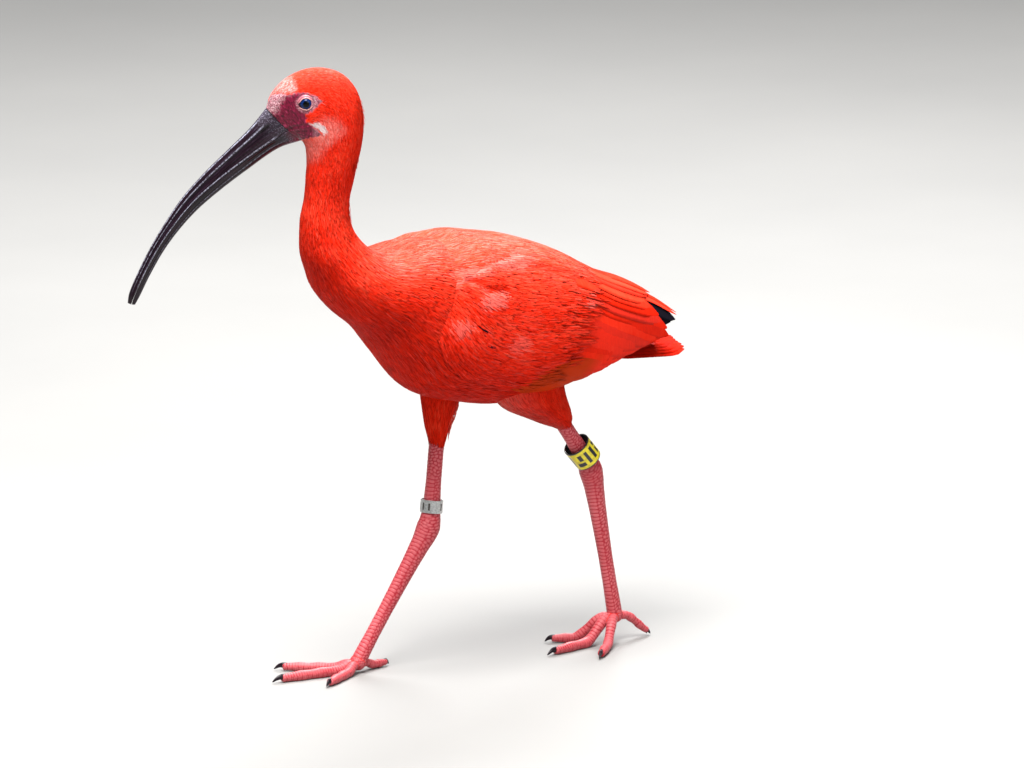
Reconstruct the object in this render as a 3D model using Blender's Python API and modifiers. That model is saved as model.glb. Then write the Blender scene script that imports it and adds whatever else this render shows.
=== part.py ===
"""Scarlet ibis, a still life-size model, walking with its head turned to its right.

The bird faces -X, its left side faces -Y and the floor is at z = 0. All sizes are in millimetres and
are scaled to metres when a mesh is made. Head and neck are drawn unrolled in the body's own plane and
are then turned about the upright neck.
"""

import math
import random

import bmesh
import bpy
from mathutils import Matrix, Vector

MM = 0.001
GAP = 0.3                   # between touching pieces
SKIN_GAP = 0.42             # by which a form grows before it is cut from its neighbour
AROUND = 24                 # points round the body

# Head and neck: the place on the neck about which they turn, and the turn of the head
NECK_AXIS_X = -144.0
HEAD_TURN = 37.0

# Sections of the body: the two ends of each section in the body's plane, (x, z) of the back or crown and
# (x, z) of the breast or throat, then half its width and the share of the head's turn
BODY_ROWS = {
    "bill_base": (-181.4, 377.0, -158.8, 355.3, 7.8, 1.0),
    "forehead": (-178.5, 385.3, -157.6, 354.6, 9.6, 1.0),
    "brow": (-170.4, 394.5, -157.0, 352.9, 12.0, 1.0),
    "eye": (-158.1, 400.9, -156.6, 351.2, 13.7, 1.0),
    "crown": (-145.5, 402.2, -156.4, 349.4, 14.7, 1.0),
    "hind_crown": (-133.2, 398.1, -156.2, 347.4, 14.9, 1.0),
    "nape_top": (-124.5, 388.3, -156.1, 345.3, 14.9, 1.0),
    "nape": (-120.2, 374.0, -156.0, 343.1, 14.8, 1.0),
    "nape_low": (-120.0, 361.2, -156.0, 340.5, 14.6, 1.0),
    "throat": (-121.6, 349.9, -156.1, 337.4, 14.6, 0.97),
    "neck_top": (-124.2, 339.1, -156.6, 332.7, 14.7, 0.88),
    "neck_high": (-126.4, 328.8, -156.8, 326.3, 14.3, 0.7),
    "neck_mid": (-129.0, 317.5, -157.7, 316.7, 14.2, 0.42),
    "neck_low": (-128.9, 304.7, -160.1, 305.4, 15.0, 0.16),
    "neck_root": (-125.6, 295.4, -160.3, 294.1, 17.1, 0.04),
    "crop_high": (-119.4, 287.6, -158.6, 282.1, 21.0, 0.0),
    "crop": (-111.4, 281.2, -152.6, 269.3, 26.9, 0.0),
    "breast_high": (-101.6, 278.2, -145.4, 255.8, 33.0, 0.0),
    "breast": (-90.7, 279.0, -131.6, 240.7, 38.3, 0.0),
    "shoulder": (-77.8, 281.4, -113.5, 226.3, 42.6, 0.0),
    "wing_front": (-62.4, 281.0, -96.7, 206.5, 45.5, 0.0),
    "back_high": (-45.6, 277.2, -76.0, 183.5, 47.0, 0.0),
    "back": (-25.8, 272.4, -47.7, 173.9, 46.2, 0.0),
    "loin": (-2.0, 265.6, -17.9, 168.2, 44.9, 0.0),
    "rump_front": (21.9, 256.3, 10.0, 169.6, 41.4, 0.0),
    "rump": (44.0, 244.9, 34.0, 175.5, 36.0, 0.0),
    "vent": (64.0, 233.0, 56.1, 181.0, 29.0, 0.0),
    "tail_root": (80.1, 222.1, 76.2, 184.5, 23.1, 0.0),
    "tail_core": (94.3, 209.6, 92.3, 186.5, 18.1, 0.0),
    "tail_core_end": (104.4, 200.6, 104.4, 187.5, 14.1, 0.0),
}
ROUNDNESS = 0.92            # below 1 squares a section a little

# Outer envelope of the folded wings, in the same form as the body's rows and without a turn
WING_ROWS = (
    (-83.1, 280.9, -125.5, 221.0, 46.5),
    (-61.4, 282.5, -101.0, 199.3, 50.0),
    (-41.6, 282.2, -73.4, 184.5, 51.8),
    (-21.8, 277.8, -43.7, 177.0, 52.0),
    (4.0, 271.5, -14.0, 171.0, 51.0),
    (32.0, 261.0, 16.0, 171.5, 47.5),
    (60.0, 246.5, 46.0, 174.0, 41.0),
    (84.0, 236.5, 72.0, 177.0, 33.0),
    (106.0, 225.0, 97.0, 179.0, 25.0),
    (126.0, 212.0, 120.0, 181.0, 17.5),
    (142.0, 201.0, 138.0, 185.0, 12.0),
)
WING_SQUARENESS = 0.8

# Tiers of wing feathers: places are (x along the wing, angle down from the back in degrees), and the
# first and last feather of a tier are given; those between are spread evenly
WING_TIERS = {
    # count, first root, last root, first tip, last tip, width, thickness, height at the first tip, how
    # much lower each next feather lies, lengths into which a feather is divided
    "primary": (4, (44, 58), (44, 84), (140, 52), (126, 80), 13.0, 0.8, -4.2, 0.8, 4),
    "secondary": (8, (6, 63), (-12, 137), (117, 90), (36, 137), 15.0, 0.8, 0.6, 0.4, 4),
    "tertial": (4, (4, 15), (2, 51), (121, 36), (119, 77), 17.0, 0.8, 3.0, 0.7, 4),
    "greater_covert": (7, (-36, 56), (-40, 134), (20, 61), (4, 135), 16.0, 0.8, 1.6, 0.1, 3),
    "median_covert": (6, (-61, 55), (-62, 126), (-24, 59), (-26, 129), 17.0, 0.8, 1.9, 0.1, 3),
    "lesser_covert": (5, (-82, 56), (-84, 108), (-50, 59), (-52, 113), 18.0, 0.8, 1.5, 0.1, 3),
    "scapular_rear": (3, (-18, 12), (-20, 42), (42, 13), (34, 42), 18.0, 0.8, 3.6, 0.3, 3),
    "scapular_mid": (3, (-50, 13), (-52, 43), (-2, 13), (-6, 41), 18.0, 0.8, 3.0, 0.3, 3),
    "scapular_front": (3, (-78, 18), (-80, 45), (-36, 15), (-38, 42), 17.0, 0.8, 2.4, 0.3, 3),
}
VANE_SINK = 1.3             # depth of a root below the core's face
VANE_ROLL = 0.22            # sideways tilt that lets neighbours overlap
VANE_SHAPES = {
    # width at each place along a feather, by the lengths into which it is divided
    3: (0.6, 1.0, 0.92, 0.32),
    4: (0.55, 0.95, 1.0, 0.86, 0.32),
}
CORE_DEPTH = 11.0
CORE_TOP = -1.3             # outer face of the wing's core below the envelope
CORE_SPAN = (-90.0, 62.0)
CORE_FRONT_DROP = 1.4       # how much lower the core's face is at its front
CORE_EDGE_DROP = 1.2        # and along its upper and lower edges
MIDDLE_SPACE = (600.0, 60.0, 200.0)     # what is cut from a wing across the bird's middle
MIDDLE_SPACE_HEIGHT = 230.0

# Tail
TAIL_FEATHERS = 12
TAIL_ROOT = (76.0, 203.0)
TAIL_TIP = (136.0, 192.0)
TAIL_HALF_WIDTH = 23.0
TAIL_LAYER = 1.5
TAIL_FEATHER_WIDTH = 15.0
TAIL_COVERTS = (
    # root (x, z), tip (x, z), half the spread at the root and at the tip, count
    ((72.0, 224.0), (113.0, 204.0), 8.0, 11.0, 4),
    ((68.0, 186.0), (116.0, 182.6), 7.0, 8.0, 4),
)
TAIL_COVERT_WIDTH = 14.0

# Bill, in the head's plane: culmen (x, z), lower edge (x, z), half width, share above the mouth
BILL_ROWS = (
    (-181.7, 376.2, -159.2, 355.6, 7.5, 0.62),
    (-191.6, 363.7, -174.0, 350.4, 6.9, 0.67),
    (-206.7, 348.6, -194.5, 335.9, 5.9, 0.62),
    (-220.1, 335.2, -208.9, 324.8, 5.2, 0.58),
    (-234.3, 319.1, -224.3, 311.5, 4.6, 0.55),
    (-245.4, 302.7, -236.9, 297.5, 4.2, 0.54),
    (-254.7, 287.0, -247.1, 283.2, 3.8, 0.53),
    (-263.2, 269.9, -256.1, 266.9, 3.5, 0.52),
    (-268.7, 256.7, -262.1, 254.4, 3.1, 0.52),
    (-269.8, 250.3, -265.0, 249.1, 2.2, 0.52),
)
MOUTH_GAP = 0.5
BILL_ARC = 7
NOSTRIL = (-187.3, 365.5, 4.5)
NOSTRIL_SIZE = (4.0, 1.5, 0.8)
NOSTRIL_SLOPE = 46.0

# Eyes
EYE = (-155.9, 382.0, 10.1)
EYE_RADIUS = 5.2
LID_RADIUS = 4.3
LID_THICKNESS = 0.95
LID_OUT = 3.4

# Legs: joints as (x, y, z)
HEEL_RIGHT = (-50.0, 16.0, 88.0)
TOE_JOINT_RIGHT = (-108.0, 16.0, 6.4)
HEEL_LEFT = (54.2, -17.5, 118.0)
TOE_JOINT_LEFT = (75.0, -16.0, 17.0)
SHANK_TOP_RIGHT = (-43.4, 18.0, 139.5)
SHANK_TOP_LEFT = (31.0, -20.0, 149.0)
SHANK_RADII = (4.9, 4.7, 4.6, 4.8, 5.3, 5.8)
HEEL_REACH = 8.1            # of the tarsus above the heel's middle
HEEL_PROFILE = (
    # distance above the heel's middle, half width, half depth
    (7.5, 5.3, 5.6),
    (3.5, 6.3, 7.1),
    (0.0, 7.0, 7.8),
)
TARSUS_PROFILE = (
    # share of the length, half width, half depth
    (0.07, 7.0, 7.5),
    (0.16, 5.4, 6.3),
    (0.3, 4.7, 5.7),
    (0.6, 3.7, 4.6),
    (0.86, 3.8, 4.5),
)
TARSUS_FOOT = (4.6, 4.8)

# Feathered thighs: front (x, z), rear (x, z), y of the middle, half width
THIGH_RIGHT_ROWS = (
    (-62.8, 212.0, -12.0, 208.0, 17.0, 13.5),
    (-57.6, 190.0, -18.0, 182.0, 18.5, 12.3),
    (-53.0, 172.5, -27.8, 163.5, 19.5, 10.2),
    (-50.6, 156.0, -34.8, 149.5, 19.0, 8.0),
    (-49.2, 144.0, -37.4, 139.5, 18.2, 6.3),
)
THIGH_LEFT_ROWS = (
    (-30.0, 200.0, 28.0, 212.0, -17.0, 13.5),
    (-27.0, 182.0, 28.8, 188.0, -18.0, 13.0),
    (-18.0, 168.0, 30.4, 172.0, -19.5, 11.6),
    (3.0, 157.5, 33.4, 162.0, -20.5, 9.2),
    (19.5, 150.0, 35.4, 155.5, -20.2, 7.1),
    (26.0, 146.8, 35.6, 152.0, -20.0, 5.8),
)

# Toes: name, angle outward from straight ahead in degrees, length with its claw, radius at the root
TOES = (
    ("inner", -34.0, 46.0, 3.3),
    ("middle", 2.0, 62.0, 3.6),
    ("outer", 36.0, 54.0, 3.3),
)
HIND_TOE = ("hind", 168.0, 27.0, 2.9)
TOE_PROFILE = (
    # share of a toe's length, share of its radius
    (0.0, 1.0),
    (0.14, 0.88),
    (0.28, 1.0),
    (0.43, 0.82),
    (0.58, 0.95),
    (0.72, 0.76),
    (0.85, 0.7),
    (0.93, 0.42),
    (1.0, 0.14),
)
CLAW_START = 0.85
CLAW_DROP = 1.2
TOE_OUT = 6.0
TOE_HEIGHT = 2.7
BALL_RADIUS = 6.0
TOE_START = 13.0            # where the front toes leave the palm
WEB_START = 3.0
WEB_REACH = 12.5
WEB_THICKNESS = 1.0

# Leg rings
METAL_RING = {"inner": 6.6, "outer": 7.3, "length": 8.4, "z": 100.8, "lean": (0.0, 0.0, 0.0)}
YELLOW_RING = {"inner": 8.2, "outer": 9.1, "length": 15.2, "z": 129.4, "lean": (0.1, -0.07, 0.0)}

COLOURS = {
    # slot: base colour, roughness, metallic
    "plumage": ((0.80, 0.045, 0.02), 0.7, 0.0),
    "bill_horn": ((0.05, 0.03, 0.035), 0.35, 0.0),
    "eye": ((0.01, 0.01, 0.02), 0.05, 0.0),
    "leg_skin": ((0.72, 0.14, 0.13), 0.45, 0.0),
    "ring_metal": ((0.62, 0.62, 0.60), 0.35, 1.0),
    "ring_yellow": ((0.85, 0.65, 0.03), 0.4, 0.0),
}


def clear_scene():
    for item in list(bpy.data.objects):
        bpy.data.objects.remove(item)


def make_material(slot):
    colour, roughness, metallic = COLOURS[slot]
    material = bpy.data.materials.new(slot)
    material.use_nodes = True
    shader = material.node_tree.nodes["Principled BSDF"]
    shader.inputs["Base Color"].default_value = (*colour, 1.0)
    shader.inputs["Roughness"].default_value = roughness
    shader.inputs["Metallic"].default_value = metallic
    return material


def smooth_step(share):
    share = min(1.0, max(0.0, share))
    return share * share * (3.0 - 2.0 * share)


def mix(a, b, share):
    return tuple(p + (q - p) * share for p, q in zip(a, b))


def row_at(rows, times, time):
    """The row at a time, on a smooth curve through all rows."""
    last = len(rows) - 1
    index = 0
    while index < last - 1 and times[index + 1] < time:
        index += 1
    span = times[index + 1] - times[index]
    share = (time - times[index]) / span
    values = []
    for column in range(len(rows[0])):
        slopes = []
        for k in (index, index + 1):
            low = max(k - 1, 0)
            high = min(k + 1, last)
            slopes.append((rows[high][column] - rows[low][column]) / (times[high] - times[low]))
        a = rows[index][column]
        b = rows[index + 1][column]
        cube = share ** 3
        square = share ** 2
        values.append(
            a * (2 * cube - 3 * square + 1)
            + b * (3 * square - 2 * cube)
            + span * slopes[0] * (cube - 2 * square + share)
            + span * slopes[1] * (cube - square)
        )
    return tuple(values)


def row_times(rows):
    """Running distance of the rows' middles."""
    times = [0.0]
    for a, b in zip(rows, rows[1:]):
        step = math.hypot((a[0] + a[2] - b[0] - b[2]) / 2, (a[1] + a[3] - b[1] - b[3]) / 2)
        times.append(times[-1] + step)
    return times


def turned(x, y, z, turn):
    """A point of the unrolled bird, turned about the neck's axis."""
    angle = math.radians(HEAD_TURN * turn)
    ahead = NECK_AXIS_X - x
    return Vector((
        NECK_AXIS_X - ahead * math.cos(angle) + y * math.sin(angle),
        ahead * math.sin(angle) + y * math.cos(angle),
        z,
    ))


def power(value, exponent):
    return math.copysign(abs(value) ** exponent, value)


def section_point(row, angle, squareness, grow=0.0):
    """A point of a section: angle 0 is the back, a half turn the breast, and +y the bird's right."""
    back_x, back_z, front_x, front_z, half_width = row[:5]
    turn = row[5] if len(row) > 5 else 0.0
    reach = math.hypot(back_x - front_x, back_z - front_z) / 2
    along = power(math.cos(angle), squareness) * (reach + grow) / reach / 2
    across = power(math.sin(angle), squareness) * (half_width + grow)
    x = (back_x + front_x) / 2 + (back_x - front_x) * along
    z = (back_z + front_z) / 2 + (back_z - front_z) * along
    return turned(x, across, z, turn)


def section_ring(row, grow=0.0, count=AROUND, squareness=ROUNDNESS):
    return [section_point(row, 2 * math.pi * k / count, squareness, grow) for k in range(count)]


def ring_normal(ring):
    total = Vector()
    for a, b in zip(ring, ring[1:] + ring[:1]):
        total += a.cross(b)
    return total.normalized()


def new_object(name, points, faces):
    """A closed mesh object, points in millimetres, with its faces turned outward."""
    mesh = bpy.data.meshes.new(name)
    mesh.from_pydata([Vector(p) * MM for p in points], [], faces)
    form = bmesh.new()
    form.from_mesh(mesh)
    bmesh.ops.recalc_face_normals(form, faces=form.faces)
    form.to_mesh(mesh)
    form.free()
    item = bpy.data.objects.new(name, mesh)
    bpy.context.scene.collection.objects.link(item)
    return item


def loft(name, rings):
    """A closed body through rings with the same number of points, with flat ends."""
    count = len(rings[0])
    points = [p for ring in rings for p in ring]
    faces = []
    for level in range(len(rings) - 1):
        for k in range(count):
            a = level * count + k
            b = level * count + (k + 1) % count
            faces.append((a, b, b + count))
            faces.append((a, b + count, a + count))
    faces.append(tuple(range(count)))
    top = (len(rings) - 1) * count
    faces.append(tuple(top + k for k in reversed(range(count))))
    return new_object(name, points, faces)


def apply_modifiers(item):
    graph = bpy.context.evaluated_depsgraph_get()
    mesh = bpy.data.meshes.new_from_object(item.evaluated_get(graph))
    item.modifiers.clear()
    item.data = mesh


def keep_largest(item):
    """Keeps the largest closed surface, which drops scraps and fills hollows that fusing seals."""
    form = bmesh.new()
    form.from_mesh(item.data)
    bmesh.ops.triangulate(form, faces=form.faces)
    form.verts.ensure_lookup_table()
    seen = set()
    shells = []
    for start in form.verts:
        if start in seen:
            continue
        shell = {start}
        stack = [start]
        while stack:
            vert = stack.pop()
            for edge in vert.link_edges:
                other = edge.other_vert(vert)
                if other not in shell:
                    shell.add(other)
                    stack.append(other)
        seen |= shell
        shells.append(shell)
    shells.sort(key=len, reverse=True)
    loose = [vert for shell in shells[1:] for vert in shell]
    bmesh.ops.delete(form, geom=loose, context="VERTS")
    form.to_mesh(item.data)
    form.free()


def combine(item, others, operation, solver="EXACT"):
    """One Boolean of item with the other closed objects, which are then removed."""
    group = bpy.data.collections.new(item.name + "_tools")
    bpy.context.scene.collection.children.link(group)
    for other in others:
        for holder in list(other.users_collection):
            holder.objects.unlink(other)
        group.objects.link(other)
    step = item.modifiers.new("combine", "BOOLEAN")
    step.operation = operation
    step.operand_type = "COLLECTION"
    step.collection = group
    step.solver = solver
    apply_modifiers(item)
    for other in list(group.objects):
        bpy.data.objects.remove(other)
    bpy.data.collections.remove(group)
    keep_largest(item)


def body_span(first, last, count, grow=0.0, ends=GAP / 2):
    """Rings of the body from one named row to another, drawn in at both ends by half a gap."""
    rows = list(BODY_ROWS.values())
    times = row_times(rows)
    names = list(BODY_ROWS)
    start = times[names.index(first)]
    stop = times[names.index(last)]
    rings = []
    for k in range(count + 1):
        row = row_at(rows, times, start + (stop - start) * k / count)
        rings.append(section_ring(row, grow))
    along = (sum(rings[1], Vector()) - sum(rings[0], Vector())).normalized()
    first_normal = ring_normal(rings[0])
    first_normal *= math.copysign(ends, first_normal.dot(along))
    rings[0] = [p + first_normal for p in rings[0]]
    along = (sum(rings[-1], Vector()) - sum(rings[-2], Vector())).normalized()
    last_normal = ring_normal(rings[-1])
    last_normal *= -math.copysign(ends, last_normal.dot(along))
    rings[-1] = [p + last_normal for p in rings[-1]]
    return rings


def grown_body(name, first, last, count):
    """The body a little larger, to cut its neighbours clear of it."""
    return loft(name, body_span(first, last, count, grow=SKIN_GAP, ends=-SKIN_GAP))


def make_torso():
    return loft("torso", body_span("neck_root", "vent", 20))


def make_neck():
    return loft("neck", body_span("nape_low", "neck_root", 9))


def eye_centre(side):
    return turned(EYE[0], side * EYE[2], EYE[1], 1.0)


def head_rotation():
    return Matrix.Rotation(-math.radians(HEAD_TURN), 4, "Z")


def add_sphere(name, centre, radius, segments, rings):
    mesh = bpy.data.meshes.new(name)
    form = bmesh.new()
    bmesh.ops.create_uvsphere(form, u_segments=segments, v_segments=rings, radius=radius * MM)
    form.to_mesh(mesh)
    form.free()
    item = bpy.data.objects.new(name, mesh)
    item.data.transform(Matrix.Translation(Vector(centre) * MM) @ Matrix.Rotation(math.pi / 2, 4, "X"))
    bpy.context.scene.collection.objects.link(item)
    return item


def make_lid(side):
    """The rim of the lids, a ring round the eye."""
    segments = 14
    sides = 6
    centre = eye_centre(side) + head_rotation() @ Vector((0, side * LID_OUT, 0))
    rings = []
    for k in range(segments):
        turn = 2 * math.pi * k / segments
        out = Vector((math.cos(turn), 0, math.sin(turn) * 0.92))
        ring = []
        for j in range(sides):
            angle = 2 * math.pi * j / sides
            reach = LID_RADIUS + LID_THICKNESS * math.cos(angle)
            local = out * reach + Vector((0, LID_THICKNESS * math.sin(angle), 0))
            ring.append(centre + head_rotation() @ local)
        rings.append(ring)
    points = [p for ring in rings for p in ring]
    faces = []
    for k in range(segments):
        for j in range(sides):
            a = k * sides + j
            b = k * sides + (j + 1) % sides
            c = (k + 1) % segments * sides + (j + 1) % sides
            d = (k + 1) % segments * sides + j
            faces.append((a, b, c, d))
    return new_object("lid", points, faces)


def make_head():
    head = loft("head", body_span("bill_base", "nape_low", 16))
    combine(head, [make_lid(-1), make_lid(1)], "UNION")
    sockets = [add_sphere("socket", eye_centre(side), EYE_RADIUS + GAP, 14, 8) for side in (-1, 1)]
    combine(head, sockets, "DIFFERENCE")
    return head


def make_eye(name, side):
    return add_sphere(name, eye_centre(side), EYE_RADIUS, 14, 8)


def bill_rings(upper):
    """Rings of one half of the bill: an arc of the section, closed along the mouth."""
    times = row_times(BILL_ROWS)
    steps = 16
    rings = []
    for k in range(steps + 1):
        culmen_x, culmen_z, low_x, low_z, half_width, share = row_at(
            BILL_ROWS, times, times[-1] * k / steps
        )
        depth = math.hypot(culmen_x - low_x, culmen_z - low_z)
        level = share + (-0.5 if upper else 0.5) * MOUTH_GAP / depth
        edge = math.acos(max(-1.0, min(1.0, 1.0 - 2.0 * level)))
        ring = []
        for j in range(BILL_ARC + 1):
            if upper:
                angle = edge * (2.0 * j / BILL_ARC - 1.0)
            else:
                angle = math.pi + (math.pi - edge) * (2.0 * j / BILL_ARC - 1.0)
            down = (1.0 - math.cos(angle)) / 2.0
            x = culmen_x + (low_x - culmen_x) * down
            z = culmen_z + (low_z - culmen_z) * down
            ring.append(turned(x, math.sin(angle) * half_width, z, 1.0))
        rings.append(ring)
    along = head_rotation() @ Vector((-1.0, 0.0, 0.0))
    along.z = -1.0
    shift = along.normalized() * GAP
    rings[0] = [p + shift for p in rings[0]]
    return rings


def make_nostril(side):
    x, z, out = NOSTRIL
    item = add_sphere("nostril", (0, 0, 0), 1.0, 10, 6)
    place = Matrix.Translation(turned(x, side * out, z, 1.0) * MM)
    slope = Matrix.Rotation(-math.radians(NOSTRIL_SLOPE), 4, "Y")
    size = Matrix.Diagonal((*NOSTRIL_SIZE, 1.0))
    item.data.transform(place @ head_rotation() @ slope @ size)
    return item


def make_bill_upper():
    bill = loft("bill_upper", bill_rings(True))
    combine(bill, [make_nostril(-1), make_nostril(1)], "DIFFERENCE")
    return bill


def make_bill_lower():
    return loft("bill_lower", bill_rings(False))


def vane(path, ups, width, thickness, roll):
    """A thin tapered feather along a path, with both faces split into triangles alike."""
    last = len(path) - 1
    shape = VANE_SHAPES[last]
    points = []
    for k, (centre, up) in enumerate(zip(path, ups)):
        ahead = (path[min(k + 1, last)] - path[max(k - 1, 0)]).normalized()
        side = ahead.cross(up).normalized()
        up = side.cross(ahead).normalized()
        side = (side * math.cos(roll) + up * math.sin(roll)).normalized()
        up = side.cross(ahead).normalized()
        half = width * shape[k] / 2
        thick = thickness * (1.0 - 0.45 * k / last) / 2
        points.append(centre - side * half + up * thick)
        points.append(centre + side * half + up * thick)
        points.append(centre + side * half - up * thick)
        points.append(centre - side * half - up * thick)
    faces = []
    for k in range(last):
        a, b, c, d = (4 * k + j for j in range(4))
        e, f, g, h = (4 * (k + 1) + j for j in range(4))
        faces += [(a, b, f), (a, f, e), (d, g, c), (d, h, g)]
        faces += [(b, c, g), (b, g, f), (d, a, e), (d, e, h)]
    end = 4 * last
    faces += [(0, 3, 2), (0, 2, 1), (end, end + 1, end + 2), (end, end + 2, end + 3)]
    return new_object("vane", points, faces)


def wing_point(x, degrees, height, side):
    """A point on the wings' envelope, or above it, and the way out there."""
    times = [(row[0] + row[2]) / 2 for row in WING_ROWS]
    row = row_at(WING_ROWS, times, x)
    angle = side * math.radians(degrees)
    step = 0.01
    here = section_point(row, angle, WING_SQUARENESS)
    around = section_point(row, angle + step, WING_SQUARENESS) - here
    along = section_point(row_at(WING_ROWS, times, x + 0.5), angle, WING_SQUARENESS) - here
    out = around.cross(along).normalized()
    middle = Vector(((row[0] + row[2]) / 2, 0, (row[1] + row[3]) / 2))
    if out.dot(here - middle) < 0:
        out.negate()
    return here + out * height, out


def wing_feathers(side, dice):
    """All tiers of one wing as loose vanes."""
    vanes = []
    for tier in WING_TIERS.values():
        count, root_a, root_b, tip_a, tip_b, width, thickness, tip_height, layer, steps = tier
        for k in range(count):
            share = k / (count - 1)
            root = mix(root_a, root_b, share)
            tip = mix(tip_a, tip_b, share)
            tip = (tip[0] + dice.uniform(-2.0, 2.0), tip[1] + dice.uniform(-1.0, 1.0))
            top = tip_height - layer * k
            low = min(top, core_height(*root) - VANE_SINK)
            path = []
            ups = []
            for j in range(steps + 1):
                along = j / steps
                x, degrees = mix(root, tip, along)
                height = low + (top - low) * smooth_step(along * 1.6)
                point, out = wing_point(x, degrees, height, side)
                path.append(point)
                ups.append(out)
            size = width * dice.uniform(0.94, 1.06)
            vanes.append(vane(path, ups, size, thickness, -side * VANE_ROLL))
    return vanes


def wing_edges(x):
    """The upper and lower angles between which the wing's core lies."""
    places = (
        (-90.0, 34.0, 92.0),
        (-70.0, 22.0, 118.0),
        (-40.0, 15.0, 137.0),
        (-5.0, 12.0, 139.0),
        (30.0, 9.0, 130.0),
        (62.0, 12.0, 112.0),
    )
    return row_at([p[1:] for p in places], [p[0] for p in places], x)


def core_height(x, degrees):
    """Height of the core's outer face over the envelope."""
    top, low = wing_edges(x)
    across = abs(2.0 * (degrees - top) / (low - top) - 1.0)
    front = smooth_step(5.0 * (x - CORE_SPAN[0]) / (CORE_SPAN[1] - CORE_SPAN[0]))
    return CORE_TOP - CORE_FRONT_DROP * (1.0 - front) - CORE_EDGE_DROP * min(1.0, across ** 4)


def make_wing_core(side):
    levels = 9
    points_across = 7
    rings = []
    for level in range(levels):
        x = CORE_SPAN[0] + (CORE_SPAN[1] - CORE_SPAN[0]) * level / (levels - 1)
        top, low = wing_edges(x)
        outer = []
        inner = []
        for k in range(points_across):
            degrees = top + (low - top) * k / (points_across - 1)
            outer.append(wing_point(x, degrees, core_height(x, degrees), side)[0])
            inner.append(wing_point(x, degrees, -CORE_DEPTH, side)[0])
        rings.append(outer + inner[::-1])
    return loft("core", rings)


def thigh_rings(rows, grow=0.0):
    times = row_times(rows)
    count = 9
    rings = []
    for k in range(count + 1):
        front_x, front_z, rear_x, rear_z, y, half_width = row_at(rows, times, times[-1] * k / count)
        row = (front_x, front_z, rear_x, rear_z, half_width)
        ring = section_ring(row, grow, 16, 1.0)
        rings.append([p + Vector((0, y, 0)) for p in ring])
    return rings


def make_thigh(name, rows):
    thigh = loft(name, thigh_rings(rows))
    combine(thigh, [grown_body("torso_space", "neck_root", "vent", 20)], "DIFFERENCE")
    return thigh


def middle_space(side):
    """A block that reaches just past the bird's middle from the other side."""
    mesh = bpy.data.meshes.new("middle_space")
    form = bmesh.new()
    bmesh.ops.create_cube(form, size=MM)
    form.to_mesh(mesh)
    form.free()
    y = -side * (MIDDLE_SPACE[1] - GAP) / 2
    place = Matrix.Translation(Vector((0, y, MIDDLE_SPACE_HEIGHT)) * MM)
    mesh.transform(place @ Matrix.Diagonal((*MIDDLE_SPACE, 1.0)))
    item = bpy.data.objects.new("middle_space", mesh)
    bpy.context.scene.collection.objects.link(item)
    return item


def make_wing(name, side, seed):
    dice = random.Random(seed)
    wing = make_wing_core(side)
    wing.name = name
    combine(wing, wing_feathers(side, dice), "UNION")
    rows = THIGH_LEFT_ROWS if side < 0 else THIGH_RIGHT_ROWS
    body = grown_body("body_space", "neck_root", "tail_core_end", 26)
    thigh = loft("thigh_space", thigh_rings(rows, SKIN_GAP))
    combine(wing, [body, thigh, middle_space(side)], "DIFFERENCE")
    return wing


def make_tail():
    """The tail's fleshy root with its feathers and the coverts above and below them."""
    tail = loft("tail", body_span("vent", "tail_core_end", 6))
    vanes = []
    steps = 4
    half = TAIL_FEATHERS // 2
    for side in (-1, 1):
        for k in range(half):
            out = (k + 0.5) / half
            layer = -TAIL_LAYER * k + (0.0 if side < 0 else -TAIL_LAYER / 2)
            path = []
            for j in range(steps + 1):
                along = j / steps
                x = TAIL_ROOT[0] + (TAIL_TIP[0] - TAIL_ROOT[0] - 5.0 * out * out) * along
                z = TAIL_ROOT[1] + (TAIL_TIP[1] - TAIL_ROOT[1]) * along + layer
                y = side * out * (6.0 + (TAIL_HALF_WIDTH - 12.0) * along)
                path.append(Vector((x, y, z - 1.5 * out * along)))
            ups = [Vector((0, 0, 1))] * (steps + 1)
            vanes.append(vane(path, ups, TAIL_FEATHER_WIDTH, 0.7, 0.0))
    for root, tip, spread_root, spread_tip, count in TAIL_COVERTS:
        for k in range(count):
            out = 2.0 * k / (count - 1) - 1.0
            path = []
            for j in range(4):
                x, z = mix(root, tip, j / 3)
                y = out * (spread_root + (spread_tip - spread_root) * j / 3)
                path.append(Vector((x, y, z - 1.2 * abs(out) * j / 3 + 0.35 * (k % 2))))
            vanes.append(vane(path, [Vector((0, 0, 1))] * 4, TAIL_COVERT_WIDTH, 0.8, 0.0))
    combine(tail, vanes, "UNION")
    return tail


def frame_along(path, k, ends):
    """The way ahead at a place on a path, and two ways across it; ends may give it at either end."""
    last = len(path) - 1
    ahead = (path[min(k + 1, last)] - path[max(k - 1, 0)]).normalized()
    if k == 0 and ends[0]:
        ahead = ends[0]
    if k == last and ends[1]:
        ahead = ends[1]
    side = ahead.cross(Vector((1, 0, 0))) if abs(ahead.z) > 0.7 else ahead.cross(Vector((0, 0, 1)))
    side.normalize()
    return ahead, side, side.cross(ahead).normalized()


def tube(name, path, radii, sides=10, ends=(None, None)):
    """A round tapered body along a path; each radius is one number or a pair (across, along)."""
    path = [Vector(p) for p in path]
    rings = []
    for k, centre in enumerate(path):
        ahead, side, up = frame_along(path, k, ends)
        wide, deep = radii[k] if isinstance(radii[k], tuple) else (radii[k], radii[k])
        ring = []
        for j in range(sides):
            angle = 2 * math.pi * (j + 0.5) / sides
            ring.append(centre + side * math.cos(angle) * wide + up * math.sin(angle) * deep)
        rings.append(ring)
    return loft(name, rings)


def flatten_soles(item):
    """Presses whatever would reach below the floor flat onto it."""
    for vert in item.data.vertices:
        vert.co.z = max(vert.co.z, 0.0)


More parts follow.
